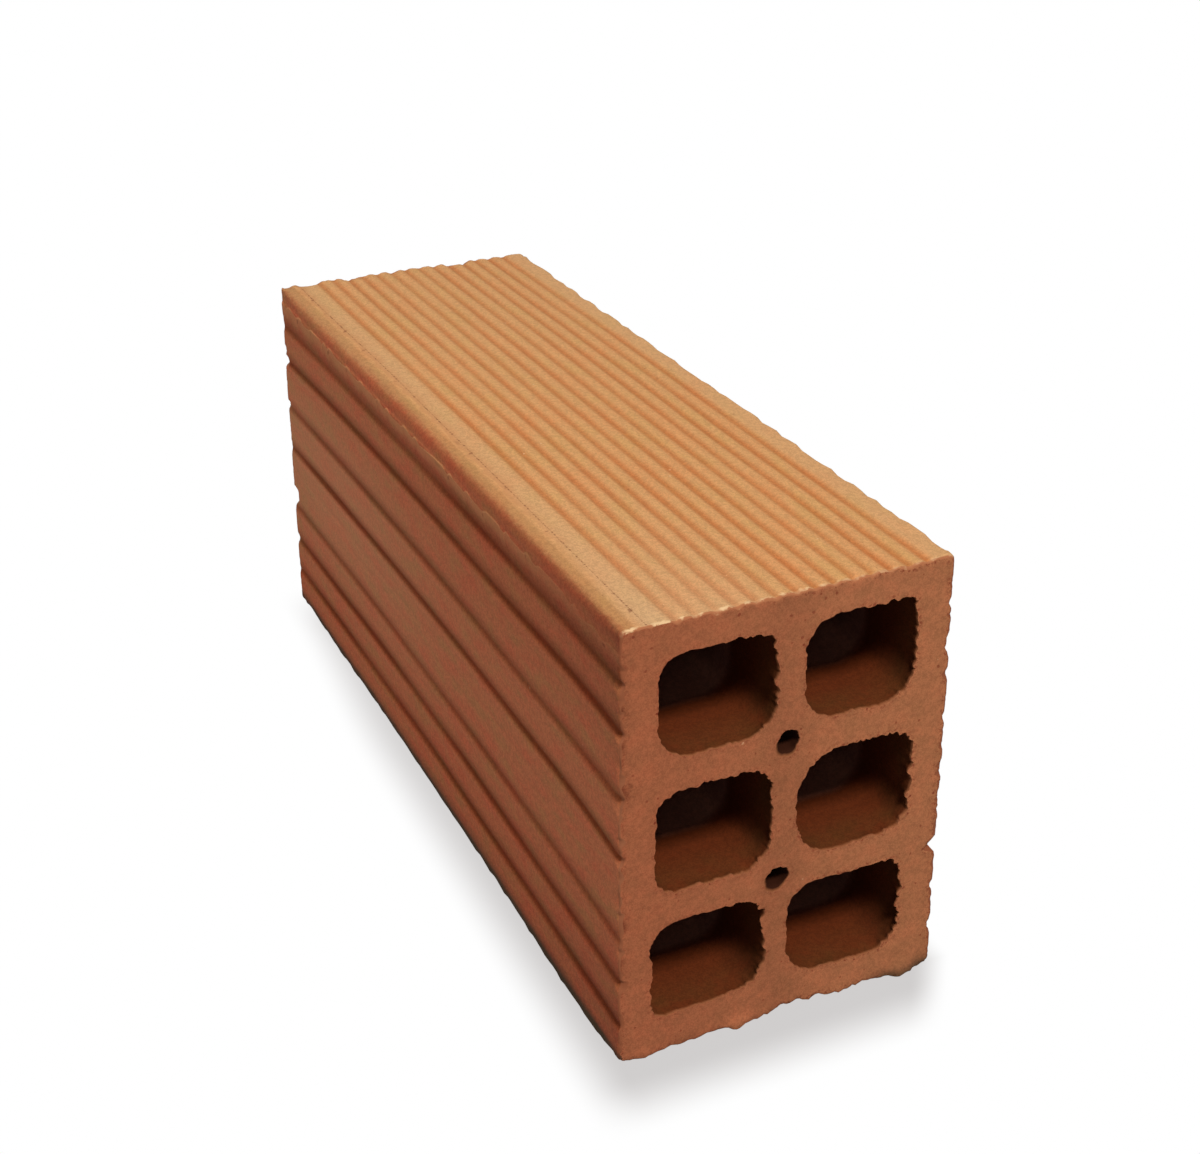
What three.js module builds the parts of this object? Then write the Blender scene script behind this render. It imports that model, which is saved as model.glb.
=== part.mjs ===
// Hollow clay brick: one extruded, wire-cut and fired body with six cells running through its length.
// Millimetres. X is across the brick, Y along its length, Z up. The origin is the centre of the bed face.
import * as THREE from "three";

// Overall size of the fired brick.
const WIDTH = 90;
const HEIGHT = 120;
const LENGTH = 270;

// Clay between the cells, and between the cells and the outside.
const SIDE_WALL = 9.2;
const CENTRE_WEB = 7.2;
const TOP_WALL = 8.2;
const BOTTOM_WALL = 9.7;
const ROW_WEB = 8.5;

// Cells, left by the cores of the extrusion die.
const CELL_COLUMNS = 2;
const CELL_ROWS = 3;
const CELL_CORNER_RADIUS = 8.5;

// Small holes where a row web crosses the centre web, left by the pins that carry the cores.
const PIN_HOLE_DIAMETER = 6;

// Long edges. The die's corner has worn round above the -X side and is still sharp above the other.
const TOP_LEFT_EDGE_RADIUS = 3.2;
const TOP_RIGHT_EDGE_RADIUS = 0.8;
const BOTTOM_EDGE_RADIUS = 2.5;

// Fine key grooves for mortar on the two bed faces. They start a wide margin in from the -X side,
// and as many follow as leave at least the narrow margin at the +X side.
const BED_GROOVE_PITCH = 5.3;
const BED_GROOVE_MARGIN = 13.9;
const BED_GROOVE_FAR_MARGIN = 6.9;
const BED_GROOVE_DEPTH = 0.5;
const BED_GROOVE_SHOULDER = 1.8;

// Coarse key grooves for plaster on the two side faces, as the lands that part them: from the bed up, and
// from the top down. The plain land between the two groups takes what is left of the height.
// A groove's upper shoulder is long and turns in slowly. Its lower shoulder is short.
const LANDS_FROM_BED = [13.3, 12.8, 12.4];
const LANDS_FROM_TOP = [12.1, 12.3, 17.7, 15.1];
const SIDE_GROOVE_DEPTH = 0.8;
const SIDE_GROOVE_UPPER_SHOULDER = 5.6;
const SIDE_GROOVE_LOWER_SHOULDER = 1.9;

// A shoulder leaves the face level. It reaches the root level too where the root is round, and at its
// steepest where the root is a lap. Each is the share of the shoulder that pulls the curve level there.
const FACE_LEVEL = 0.5;
const ROUND_ROOT_LEVEL = 0.5;
const LAP_ROOT_LEVEL = 0;

// Straight pieces on each curve of the section.
const CURVE_STEPS = 5;

const FIRED_CLAY = new THREE.MeshStandardMaterial({ color: 0xb06f45, roughness: 0.92, metalness: 0 });

const CELL_WIDTH = (WIDTH - 2 * SIDE_WALL - (CELL_COLUMNS - 1) * CENTRE_WEB) / CELL_COLUMNS;
const CELL_HEIGHT = (HEIGHT - TOP_WALL - BOTTOM_WALL - (CELL_ROWS - 1) * ROW_WEB) / CELL_ROWS;

// Centre of a cell, counted from the -X side and from the bed.
function cellCentre(column, row) {
  const x = -WIDTH / 2 + SIDE_WALL + CELL_WIDTH / 2 + column * (CELL_WIDTH + CENTRE_WEB);
  const z = BOTTOM_WALL + CELL_HEIGHT / 2 + row * (CELL_HEIGHT + ROW_WEB);
  return new THREE.Vector2(x, z);
}

// Centre of the clay where four cells meet.
function crossingCentre(column, row) {
  return cellCentre(column, row).add(cellCentre(column + 1, row + 1)).multiplyScalar(0.5);
}

// Draws one face of the section as a line of lands and grooves, from start along direction.
// depthwards points into the clay. Each groove is { at, before, after, depth }: the distance of its root
// along the face, its shoulders { reach, rootLevel } on either side, and its depth.
function drawFace(outline, start, direction, depthwards, length, grooves) {
  const place = (along, depth) =>
    start.clone().addScaledVector(direction, along).addScaledVector(depthwards, depth);
  const curveTo = (first, second, end) =>
    outline.bezierCurveTo(first.x, first.y, second.x, second.y, end.x, end.y);
  for (const { at, before, after, depth } of grooves) {
    const root = place(at, depth);
    const land = place(at - before.reach, 0);
    outline.lineTo(land.x, land.y);
    const levelBefore = place(at - before.reach * (1 - FACE_LEVEL), 0);
    curveTo(levelBefore, place(at - before.reach * before.rootLevel, depth), root);
    const levelAfter = place(at + after.reach * (1 - FACE_LEVEL), 0);
    curveTo(place(at + after.reach * after.rootLevel, depth), levelAfter, place(at + after.reach, 0));
  }
  const end = place(length, 0);
  outline.lineTo(end.x, end.y);
}

// Fine grooves of a bed face, as distances from the -X side.
function bedGrooves() {
  const room = WIDTH - BED_GROOVE_MARGIN - BED_GROOVE_FAR_MARGIN;
  const count = 1 + Math.floor(room / BED_GROOVE_PITCH);
  const shoulder = { reach: BED_GROOVE_SHOULDER, rootLevel: ROUND_ROOT_LEVEL };
  return Array.from({ length: count }, (_, i) => ({
    at: BED_GROOVE_MARGIN + i * BED_GROOVE_PITCH,
    before: shoulder,
    after: shoulder,
    depth: BED_GROOVE_DEPTH,
  }));
}

// Running total of a list of lands.
function reachOf(lands) {
  return lands.map((_, i) => lands.slice(0, i + 1).reduce((sum, land) => sum + land, 0));
}

// Coarse grooves of a side face, as heights above the bed.
function sideGrooves() {
  const low = reachOf(LANDS_FROM_BED);
  const high = reachOf(LANDS_FROM_TOP).map((reach) => HEIGHT - reach).reverse();
  return [...low, ...high].map((at) => ({
    at,
    before: { reach: SIDE_GROOVE_LOWER_SHOULDER, rootLevel: ROUND_ROOT_LEVEL },
    after: { reach: SIDE_GROOVE_UPPER_SHOULDER, rootLevel: LAP_ROOT_LEVEL },
    depth: SIDE_GROOVE_DEPTH,
  }));
}

// The same grooves met from the face's other end, and counted from a corner set back by its edge radius.
function reversed(grooves, length) {
  return grooves
    .map(({ at, before, after, depth }) => ({ at: length - at, before: after, after: before, depth }))
    .reverse();
}

function setBack(grooves, distance) {
  return grooves.map((groove) => ({ ...groove, at: groove.at - distance }));
}

// Outer line of the section, anticlockwise from the bed's -X end.
function sectionOutline() {
  const right = new THREE.Vector2(1, 0);
  const up = new THREE.Vector2(0, 1);
  const left = right.clone().negate();
  const down = up.clone().negate();
  const half = WIDTH / 2;
  const low = BOTTOM_EDGE_RADIUS;
  const highRight = TOP_RIGHT_EDGE_RADIUS;
  const highLeft = TOP_LEFT_EDGE_RADIUS;
  const topLength = WIDTH - highRight - highLeft;
  const quarter = Math.PI / 2;
  const outline = new THREE.Shape();

  outline.moveTo(-half + low, 0);
  const bed = setBack(bedGrooves(), low);
  drawFace(outline, new THREE.Vector2(-half + low, 0), right, up, WIDTH - 2 * low, bed);
  outline.absarc(half - low, low, low, -quarter, 0, false);

  const rightSide = setBack(sideGrooves(), low);
  drawFace(outline, new THREE.Vector2(half, low), up, left, HEIGHT - low - highRight, rightSide);
  outline.absarc(half - highRight, HEIGHT - highRight, highRight, 0, quarter, false);

  const top = setBack(reversed(bedGrooves(), WIDTH), highRight);
  drawFace(outline, new THREE.Vector2(half - highRight, HEIGHT), left, down, topLength, top);
  outline.absarc(-half + highLeft, HEIGHT - highLeft, highLeft, quarter, 2 * quarter, false);

  const leftSide = setBack(reversed(sideGrooves(), HEIGHT), highLeft);
  const leftStart = new THREE.Vector2(-half, HEIGHT - highLeft);
  drawFace(outline, leftStart, down, right, HEIGHT - low - highLeft, leftSide);
  outline.absarc(-half + low, low, low, 2 * quarter, 3 * quarter, false);
  return outline;
}

// Rounded rectangle of one cell.
function cellOutline(centre) {
  const x = CELL_WIDTH / 2;
  const z = CELL_HEIGHT / 2;
  const radius = Math.min(CELL_CORNER_RADIUS, x, z);
  const quarter = Math.PI / 2;
  const hole = new THREE.Path();
  hole.absarc(centre.x + x - radius, centre.y + z - radius, radius, 0, quarter, false);
  hole.absarc(centre.x - x + radius, centre.y + z - radius, radius, quarter, 2 * quarter, false);
  hole.absarc(centre.x - x + radius, centre.y - z + radius, radius, 2 * quarter, 3 * quarter, false);
  hole.absarc(centre.x + x - radius, centre.y - z + radius, radius, 3 * quarter, 4 * quarter, false);
  hole.closePath();
  return hole;
}

function pinHoleOutline(centre) {
  const hole = new THREE.Path();
  hole.absarc(centre.x, centre.y, PIN_HOLE_DIAMETER / 2, 0, 2 * Math.PI, false);
  return hole;
}

// The section with its cells and pin holes cut through it.
function section() {
  const shape = sectionOutline();
  for (let column = 0; column < CELL_COLUMNS; column += 1) {
    for (let row = 0; row < CELL_ROWS; row += 1) {
      shape.holes.push(cellOutline(cellCentre(column, row)));
    }
  }
  for (let column = 0; column < CELL_COLUMNS - 1; column += 1) {
    for (let row = 0; row < CELL_ROWS - 1; row += 1) {
      shape.holes.push(pinHoleOutline(crossingCentre(column, row)));
    }
  }
  return shape;
}

// The section is drawn in X and Z and pushed out along Y, as the clay leaves the die.
function brickBody() {
  const geometry = new THREE.ExtrudeGeometry(section(), {
    depth: LENGTH,
    bevelEnabled: false,
    curveSegments: CURVE_STEPS,
  });
  geometry.rotateX(Math.PI / 2);
  geometry.translate(0, LENGTH / 2, 0);
  const body = new THREE.Mesh(geometry, FIRED_CLAY);
  body.name = "brick_body";
  return body;
}

const brick = new THREE.Group();
brick.add(brickBody());

export default brick;
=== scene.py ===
# %% [markdown]
# # A six-cell hollow clay brick, dressed
# The brick is one piece of fired clay. A column of wet clay is pushed through a die, which draws the
# grooves and the cells along it, and a wire cuts the column to length. So it has three kinds of
# surface: the drawn skin with its grooves, the torn faces that the wire leaves, and the walls of the
# cells. This lesson builds all three as one closed mesh with numpy and gives each its own finish.
#
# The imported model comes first. It fixes the size and the place of the brick, and nothing moves it.

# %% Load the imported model
import math

import bpy
import numpy as np
from mathutils import Matrix, Vector
from mathutils.geometry import delaunay_2d_cdt


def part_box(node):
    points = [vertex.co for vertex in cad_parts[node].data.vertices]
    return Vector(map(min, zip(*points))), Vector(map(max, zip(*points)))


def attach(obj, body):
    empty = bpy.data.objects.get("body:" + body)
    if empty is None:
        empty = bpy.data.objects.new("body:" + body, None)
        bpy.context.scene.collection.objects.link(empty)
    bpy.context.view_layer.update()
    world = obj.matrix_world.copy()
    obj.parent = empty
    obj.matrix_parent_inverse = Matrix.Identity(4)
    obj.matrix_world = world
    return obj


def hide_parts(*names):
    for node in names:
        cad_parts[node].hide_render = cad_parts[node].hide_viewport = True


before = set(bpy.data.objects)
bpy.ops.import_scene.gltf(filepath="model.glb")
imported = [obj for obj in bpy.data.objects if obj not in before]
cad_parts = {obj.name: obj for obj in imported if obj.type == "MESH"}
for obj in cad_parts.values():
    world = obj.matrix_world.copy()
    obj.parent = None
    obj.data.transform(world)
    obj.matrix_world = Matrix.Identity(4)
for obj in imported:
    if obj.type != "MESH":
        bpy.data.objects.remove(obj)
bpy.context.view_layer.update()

MM = 0.001
LOW, HIGH = (np.array(corner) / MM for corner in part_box("brick_body"))
WIDTH, LENGTH, HEIGHT = HIGH - LOW
print(f"the brick is {WIDTH:.1f} x {LENGTH:.1f} x {HEIGHT:.1f} mm")

# %% [markdown]
# ## The camera
# It stands in front of the brick, to the left and well above it, so that the cut face, the left side
# and the top all show. Its place and the three angles of its aim are plain numbers: the turn to the
# right of straight ahead, the dip below the horizon and a slight roll. A small vertical shift keeps the
# brick high enough in the frame.

# %% Place the camera
CAMERA_PLACE = (-192.9, -457.2, 316.4)
CAMERA_TURN = 24.22
CAMERA_DIP = 26.02
CAMERA_ROLL = -0.72
CAMERA_LENS = 55.19
CAMERA_SHIFT = -0.03


def add_object(name, data):
    """A new object in the scene."""
    made = bpy.data.objects.new(name, data)
    bpy.context.scene.collection.objects.link(made)
    return made


camera = add_object("camera", bpy.data.cameras.new("camera"))
camera.data.lens = CAMERA_LENS
camera.data.sensor_width = 36.0
camera.data.shift_y = CAMERA_SHIFT
camera.data.clip_start = 0.01
aim = (
    Matrix.Rotation(math.radians(-CAMERA_TURN), 4, "Z")
    @ Matrix.Rotation(math.radians(90 - CAMERA_DIP), 4, "X")
    @ Matrix.Rotation(math.radians(CAMERA_ROLL), 4, "Z")
)
camera.matrix_world = Matrix.Translation(Vector(CAMERA_PLACE) * MM) @ aim
bpy.context.scene.camera = camera
print("camera at", [round(c, 3) for c in camera.location])

# %% [markdown]
# ## Numbers that look random
# Fired clay is never quite even: edges crumble, lands swell a little, tints drift. All of it comes from
# one tool, value noise. A lattice of random heights is blended smoothly between its points, so the same
# seed always gives the same brick. Wrapping the lattice lets the noise run round a closed outline and
# meet itself without a step.

# %% Lattice noise
LATTICE = 512


def fade(t):
    """The smoother step 6t^5 - 15t^4 + 10t^3, which is level at 0 and at 1."""
    return t * t * t * (t * (6 * t - 15) + 10)


def ramp(t, start, end):
    """0 before start, 1 after end, and the smoother step between them."""
    return fade(np.clip((t - start) / (end - start), 0, 1))


def noise(u, v, seed, wrap=LATTICE):
    """Value noise from -1 to 1: random heights at whole (u, v), blended by the smoother step.

    It repeats in u after wrap.
    """
    heights = np.random.default_rng(seed).uniform(-1, 1, (LATTICE, LATTICE))
    u, v = np.broadcast_arrays(np.asarray(u, float), np.asarray(v, float))
    i, j = np.floor(u).astype(int), np.floor(v).astype(int)
    s, t = fade(u - i), fade(v - j)
    i0, i1 = i % wrap % LATTICE, (i + 1) % wrap % LATTICE
    j0, j1 = j % LATTICE, (j + 1) % LATTICE
    near = heights[i0, j0] * (1 - s) + heights[i1, j0] * s
    far = heights[i0, j1] * (1 - s) + heights[i1, j1] * s
    return near * (1 - t) + far * t


def rough(u, v, seed, wrap=LATTICE, layers=3):
    """Noise with finer layers added, each twice as fine and half as strong as the one before."""
    total = 0.0
    for k in range(layers):
        total = total + noise(u * 2**k, v * 2**k, seed + k, wrap * 2**k) / 2**k
    return total / (2 - 2 ** (1 - layers))


print("noise at a few places:", noise(np.array([0.0, 0.5, 1.0]), 0.3, 7).round(2))

# %% [markdown]
# ## A rounded outline
# The brick's section and the mouth of each cell are the same thing: a rectangle with round corners. A
# place on it is a side and a distance along that side, and near a corner the distance turns into an
# angle. The radii may change from one station along the brick to the next, so one soft corner can grow
# along the length. The function also gives the outward direction at each place, which is what grooves
# are pushed in along.

# %% Points round a rectangle with round corners
AHEAD = np.array([(1, 0), (0, 1), (-1, 0), (0, -1)], float)
OUTWARD = np.array([(0, -1), (1, 0), (0, 1), (-1, 0)], float)
BOTTOM, RIGHT, TOP, LEFT = range(4)


def rounded_outline(side, place, low, size, radii):
    """Points and outward directions of a rounded rectangle in (x, z), counter-clockwise from its low left.

    side says which side each place is on. place is the distance from that side's start, stations by places.
    Within a radius r of a corner, the signed distance d to it becomes the angle (1 + d / r) pi / 4.
    """
    corners = np.asarray(low) + np.asarray(size) * np.array([(0, 0), (1, 0), (1, 1), (0, 1)])
    lengths = np.asarray(size)[[0, 1, 0, 1]]
    points = corners[side] + place[..., None] * AHEAD[side]
    facing = np.broadcast_to(OUTWARD[side], points.shape)
    for k in range(4):
        radius = np.asarray(radii[k], float).reshape(-1, 1)
        before = side == (k - 1) % 4
        signed = np.where(side == k, place, np.where(before, place - lengths[k - 1], np.inf))
        turning = (np.abs(signed) < radius)[..., None]
        angle = np.pi / 4 * (1 + np.clip(signed / radius, -1, 1))[..., None]
        direction = np.sin(angle) * AHEAD[k - 1] - np.cos(angle) * AHEAD[k]
        centre = corners[k] + radius[..., None] * (AHEAD[k] - AHEAD[k - 1])
        points = np.where(turning, centre + radius[..., None] * direction, points)
        facing = np.where(turning, direction, facing)
    return points, facing


# %% [markdown]
# ## The grooves
# Keyways for the mortar run the whole length. The two bed faces carry many shallow round ones at an
# even pitch. The two sides carry a few at uneven heights, each like the lap of a board: the land slopes
# in slowly from above, and below the root it comes out again at once. The side grooves wander on their
# way: a table gives how far each lies off its mean height at six stations, and a smooth curve runs
# through those values.

# %% Groove places and their curves
BED_FIRST, BED_PITCH, BED_COUNT = 13.9, 5.3, 14
BED_DEPTH, BED_REACH = 0.45, 1.8
BED_ROOTS = BED_FIRST + BED_PITCH * np.arange(BED_COUNT)
SIDE_ROOTS = np.array([13.3, 26.1, 38.5, 62.8, 77.9, 95.6, 107.9])
SIDE_DEPTHS = np.array([0.7, 0.7, 0.55, 0.75, 0.58, 0.72, 0.7])
REACH_ABOVE, REACH_BELOW = np.array([6.0, 6.0, 5.0, 4.2, 5.0, 5.4, 6.0]), 2.3
# Darkening beside each side groove's root: iron in the root, and painted shade on the land that slopes in
# above it.
STAIN_AND_SHADE_ABOVE, STAIN_AND_SHADE_BELOW = np.array([5.6, 5.6, 5.0, 5.2, 5.4, 5.8, 7.2]), (0.2, 2.9)
PATH_STATIONS = np.array([0.0, 20, 70, 120, 220, 270])
SIDE_PATHS = np.array(
    [
        [-1.8, -1.5, -1.1, -2.4, -1.4, -1.5, -0.8],
        [-1.0, -0.8, 0.1, -0.6, -0.4, -0.2, -0.2],
        [0.6, 0.6, 1.3, 0.7, 0.4, 0.2, 0.0],
        [1.8, 1.9, 2.0, 1.2, 0.9, 0.6, 0.3],
        [0.9, 0.7, 1.4, -0.5, 0.0, -0.4, -0.7],
        [-0.3, -0.8, 0.0, -1.8, -1.2, -1.9, -1.9],
    ]
)


def bump(distance, reach):
    """(1 - s^2)^2 with s the share of the reach: 1 in the middle, level there and level at the reach."""
    return (1 - np.clip(distance / reach, -1, 1) ** 2) ** 2


def lap(away, reach_above, reach_below):
    """1 at the root; (1 - s)^2 above it, so steepest there, and the bump below it."""
    above = (1 - np.clip(away / reach_above, 0, 1)) ** 2
    return np.where(away > 0, above, bump(away, reach_below))


def stain_and_shade(away):
    """Darkening beside a side groove's root, part iron and part painted shade on the land that slopes in
    above it: 1 at the root, thinning out upwards, ending soon below.
    """
    above = (1 - np.clip(away / STAIN_AND_SHADE_ABOVE, 0, 1)) ** 1.5
    return np.where(away > 0, above, 1 - ramp(-away, *STAIN_AND_SHADE_BELOW))


def through(place, knots, values):
    """A cubic Hermite curve through the values at the knots, with the slopes of np.gradient."""
    slopes = np.gradient(values, knots, axis=0)
    k = np.clip(np.searchsorted(knots, place, "right") - 1, 0, len(knots) - 2)
    step = (knots[k + 1] - knots[k])[:, None]
    t = (place - knots[k])[:, None] / step
    start, end = values[k] * (2 * t**3 - 3 * t**2 + 1), values[k + 1] * (3 * t**2 - 2 * t**3)
    return start + end + step * (slopes[k] * (t**3 - 2 * t**2 + t) + slopes[k + 1] * (t**3 - t**2))


print("bed grooves from", BED_ROOTS[0], "to", round(BED_ROOTS[-1], 2), "mm; side grooves at", SIDE_ROOTS)

# %% [markdown]
# ## A grid for the skin
# The skin is one closed grid: places round the section by stations along the brick. The places are
# about as close as the crumbs on the arris are wide, closer on the visible left and top. On the left
# each groove gets places of its own round its root, and so does the lip of the burr, so that those lines
# stay crisp. The stations crowd together at both ends, where the wire broke the arris.

# %% Places round the section and stations along the brick
CORNER_STEPS = np.array([0.4, 0.8, 1.25, 1.75, 2.35, 3.0])
ROOT_STEPS = np.array([-1.1, -0.5, 0, 0.5, 1.1])
PLACE_GAPS = {"bottom": 0.95, "right": 0.8, "top": 0.62, "left": 0.64}
END_STEPS = np.array([0, 0.12, 0.3, 0.6, 1.0, 1.6, 2.5, 3.7, 5.4])
MIDDLE_STATIONS = 70
BURR_HEIGHT = 115.1
BURR_STEPS = np.array([-1.6, -0.9, -0.45, -0.18, 0, 0.16, 0.4, 0.9, 1.6])


def side_places(length, gap, close=()):
    """Sorted places on one side: close ones, corner steps, and even ones at least 0.7 gap from those."""
    close = np.concatenate([close, CORNER_STEPS, length - CORNER_STEPS])
    even = np.linspace(0, length, round(length / gap) + 1)[1:-1]
    even = even[np.abs(even[:, None] - close).min(1) > 0.7 * gap]
    return np.sort(np.concatenate([[0], close, even]))


def inwards(along):
    """How far stations lie from the nearer end."""
    return half - np.abs(along)


left_roots = (HEIGHT - SIDE_ROOTS[:, None] - ROOT_STEPS).ravel()
side_lists = [
    side_places(WIDTH, PLACE_GAPS["bottom"]),
    side_places(HEIGHT, PLACE_GAPS["right"]),
    side_places(WIDTH, PLACE_GAPS["top"]),
    side_places(HEIGHT, PLACE_GAPS["left"], np.concatenate([left_roots, HEIGHT - BURR_HEIGHT - BURR_STEPS])),
]
skin_side = np.repeat(range(4), [len(places) for places in side_lists])
skin_place = np.concatenate(side_lists)
skin_round = (skin_place + np.array([0, WIDTH, WIDTH + HEIGHT, 2 * WIDTH + HEIGHT])[skin_side]) / (
    2 * (WIDTH + HEIGHT)
)
half = LENGTH / 2
middle = np.linspace(-half + END_STEPS[-1], half - END_STEPS[-1], MIDDLE_STATIONS + 2)[1:-1]
skin_along = np.concatenate([END_STEPS - half, middle, half - END_STEPS[::-1]])
print("skin grid:", len(skin_along), "stations by", len(skin_place), "places")

# %% [markdown]
# ## The skin
# Everything the die and the drying did to the skin is worked out for the whole grid at once, from how far
# each place lies from the front and from the low or left arris. The grooves drift sideways a little, and
# those of the bed faces lie closer together in front, where the clay shrank most.

# %% Drift of the grooves
BED_STATIONS = np.array([0.0, 60, 130, 190, 240, 270])
BED_DRIFT = np.array([[0.2], [0.25], [0.4], [0.15], [-0.3], [-0.5]])
BED_SHRINK, WANDER = 0.011, 0.12
FAR = 99.0

from_front = skin_along + half
rearward = (from_front / LENGTH)[:, None]
on_left, on_right, on_top = skin_side == LEFT, skin_side == RIGHT, skin_side == TOP
on_bed = on_top | (skin_side == BOTTOM)
natural = np.select([on_top, on_left], [WIDTH - skin_place, HEIGHT - skin_place], skin_place)

bed_path = through(from_front, BED_STATIONS, BED_DRIFT)
bed_path = bed_path - BED_SHRINK * (natural - BED_FIRST) * (1 - ramp(rearward, 0.3, 0.8))
root_paths = through(from_front, PATH_STATIONS, SIDE_PATHS)
side_path = np.stack([np.interp(natural, SIDE_ROOTS, path) for path in root_paths])
drift = np.where(on_bed, bed_path, side_path) + WANDER * noise(skin_along[:, None] / 45, natural / 9, 35)
drift = drift * ramp(natural, 1, 7) * ramp(np.where(on_bed, WIDTH, HEIGHT) - natural, 0.5, 5)
print("grooves drift from", drift.min().round(2), "to", drift.max().round(2), "mm")

# %% [markdown]
# The burr is a ragged lip some way under the top left arris. The arris rolls over softly, and below it the
# next land stands out by the lip's height and then slopes in to the first groove. The lip fades towards
# the front. The column of places at the lip follows it, so it stays crisp.

# %% The burr
BURR_PROUD, BURR_REACH, BURR_LEDGE = 0.3, 7.0, 1.1
BURR_STATIONS = (0, 60, 150, 230, 270)
BURR_PATH = (-0.8, 0.1, 0.0, 1.0, 1.2)

burr_path = np.interp(from_front, BURR_STATIONS, BURR_PATH) + 0.3 * rough(skin_along / 24, 0.5, 31)
burr_growth = 0.2 + 0.8 * ramp(rearward, 0.15, 0.5)
burr_crumble = np.clip(0.85 + 0.4 * rough(skin_along / 9, 0.5, 33), 0.1, 1.3)[:, None]
burr_away = BURR_HEIGHT - natural
burr_shape = (1 - np.clip(burr_away / BURR_REACH, 0, 1)) ** 1.6 * ramp(burr_away, -BURR_LEDGE, 0.05) * on_left
burr_proud = BURR_PROUD * burr_growth * burr_crumble * burr_shape
burr_pull = burr_path[:, None] * np.exp(-((burr_away / 2.2) ** 2)) * on_left
place = skin_place + np.where(on_top | on_left, -1, 1) * (drift + burr_pull)
print("burr stands up to", burr_proud.max().round(2), "mm proud")

# %% [markdown]
# The grooves are cut in along the outward direction, together with two faint die lines on the left. Their
# depth wanders, and the side grooves are shallower at both ends. The lands swell a little, and handling
# has nicked the top right arris and the one at the left foot.

# %% Grooves, swelling and nicks
FAINT_LINES, FAINT_REACH = ((54.0, 0.12), (49.0, 0.1)), 1.2
RIGHT_STRENGTH = 0.55
SWELL = 0.12
NICK_DEPTH, NICK_REACH = 0.32, 1.6

groove_number = np.arange(BED_COUNT)
wander = skin_along[:, None, None]
bed_strength = 1 + 0.2 * noise(wander / 38, groove_number * 3.7, 37)
side_strength = 1 + 0.16 * noise(wander / 46, groove_number[: len(SIDE_ROOTS)] * 5.3, 38)
bed_mask = (bump(natural[:, None] - BED_ROOTS, BED_REACH) * bed_strength).sum(-1)
side_laps = lap(natural[:, None] - SIDE_ROOTS, REACH_ABOVE, REACH_BELOW)
side_cut = (side_laps * SIDE_DEPTHS * side_strength).max(-1)
full_depth = (0.8 + 0.2 * ramp(from_front, 0.5, 7)) * (0.45 + 0.55 * ramp(LENGTH - from_front, -1.5, 7))
side_cut = side_cut * full_depth[:, None] * np.where(on_right, RIGHT_STRENGTH, 1)
cut = np.where(on_bed, BED_DEPTH * bed_mask, side_cut)
for height, depth in FAINT_LINES:
    line = bump(natural - height, FAINT_REACH) * on_left
    cut = cut + depth * line * (0.7 + 0.5 * noise(skin_along[:, None] / 30, height, 39))

# The side grooves' darkening: iron in each root, and painted shade on the land that slopes in above it.
eased = 1 - 0.3 * (SIDE_ROOTS > 100) * ramp(rearward[:, None], 0.3, 0.7)
stain_and_shade_strength = SIDE_DEPTHS / SIDE_DEPTHS.max() * side_strength * eased
side_mask = (stain_and_shade(natural[:, None] - SIDE_ROOTS) * stain_and_shade_strength).max(-1)
groove_mask = np.clip(np.where(on_bed, bed_mask, side_mask), 0, 1)

swelling = SWELL * noise(skin_round * 36, skin_along[:, None] / 42, 40, 36)
from_arris = np.select([on_left, on_top, on_right], [natural, WIDTH - natural, HEIGHT - natural], FAR)
nicks = NICK_DEPTH * np.clip(1.6 * noise(skin_along[:, None] / 2.3, from_arris / 6, 47), -0.6, 1)
proud = swelling + burr_proud - cut - nicks * np.exp(-((from_arris / NICK_REACH) ** 2))
print("skin moved from", proud.min().round(2), "to", proud.max().round(2), "mm")

# %% [markdown]
# The long arrises are rounded by the corner radii. The top left one is soft all along, and the top right
# one is nearly sharp. The one at the left foot changes most: it is knocked off at the very front, nearly
# sharp just behind that, and worn farther back.

# %% Long arrises
ARRIS_STATIONS, ARRIS_RADII = (0, 4, 10, 250, 262, 270), (1.4, 2.2, 3.2, 3.2, 2.4, 1.2)
RIGHT_TOP_RADIUS, BOTTOM_RADIUS = 0.8, 2.4
FOOT_STATIONS = (0, 3, 7, 14, 30, 55, 85, 130, 180, 230, 270)
FOOT_RADII = (3.0, 2.4, 1.5, 0.7, 0.4, 1.6, 2.3, 3.2, 3.8, 3.0, 2.4)

top_left = np.interp(from_front, ARRIS_STATIONS, ARRIS_RADII)
top_right = RIGHT_TOP_RADIUS + 1.1 * np.exp(-inwards(skin_along) / 2)
low_left = np.interp(from_front, FOOT_STATIONS, FOOT_RADII) + 0.5 * rough(skin_along / 5, 0.5, 44)
low_right = np.full(len(skin_along), BOTTOM_RADIUS)
skin_radii = np.stack([np.clip(low_left, 0.3, None), low_right, top_right, top_left])
skin_low, skin_size = np.array([LOW[0], LOW[2]]), np.array([WIDTH, HEIGHT])
outline, facing = rounded_outline(skin_side, place, skin_low, skin_size, skin_radii)
print("radii of the long arrises:", skin_radii.min().round(2), "to", skin_radii.max().round(2), "mm")

# %% [markdown]
# ## The broken arrises
# The wire leaves a sharp arris, and handling breaks it. Each end of the skin is turned in on a small
# quarter round whose radius wanders from place to place and crumbles into teeth, widest down both sides in
# front and along the top behind. Single chips are knocked out of it: under the front, down its right and
# its left, and behind, where clay hung on the wire.

# %% Arris wear and chips
FRONT, REAR = -1, 1
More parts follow.
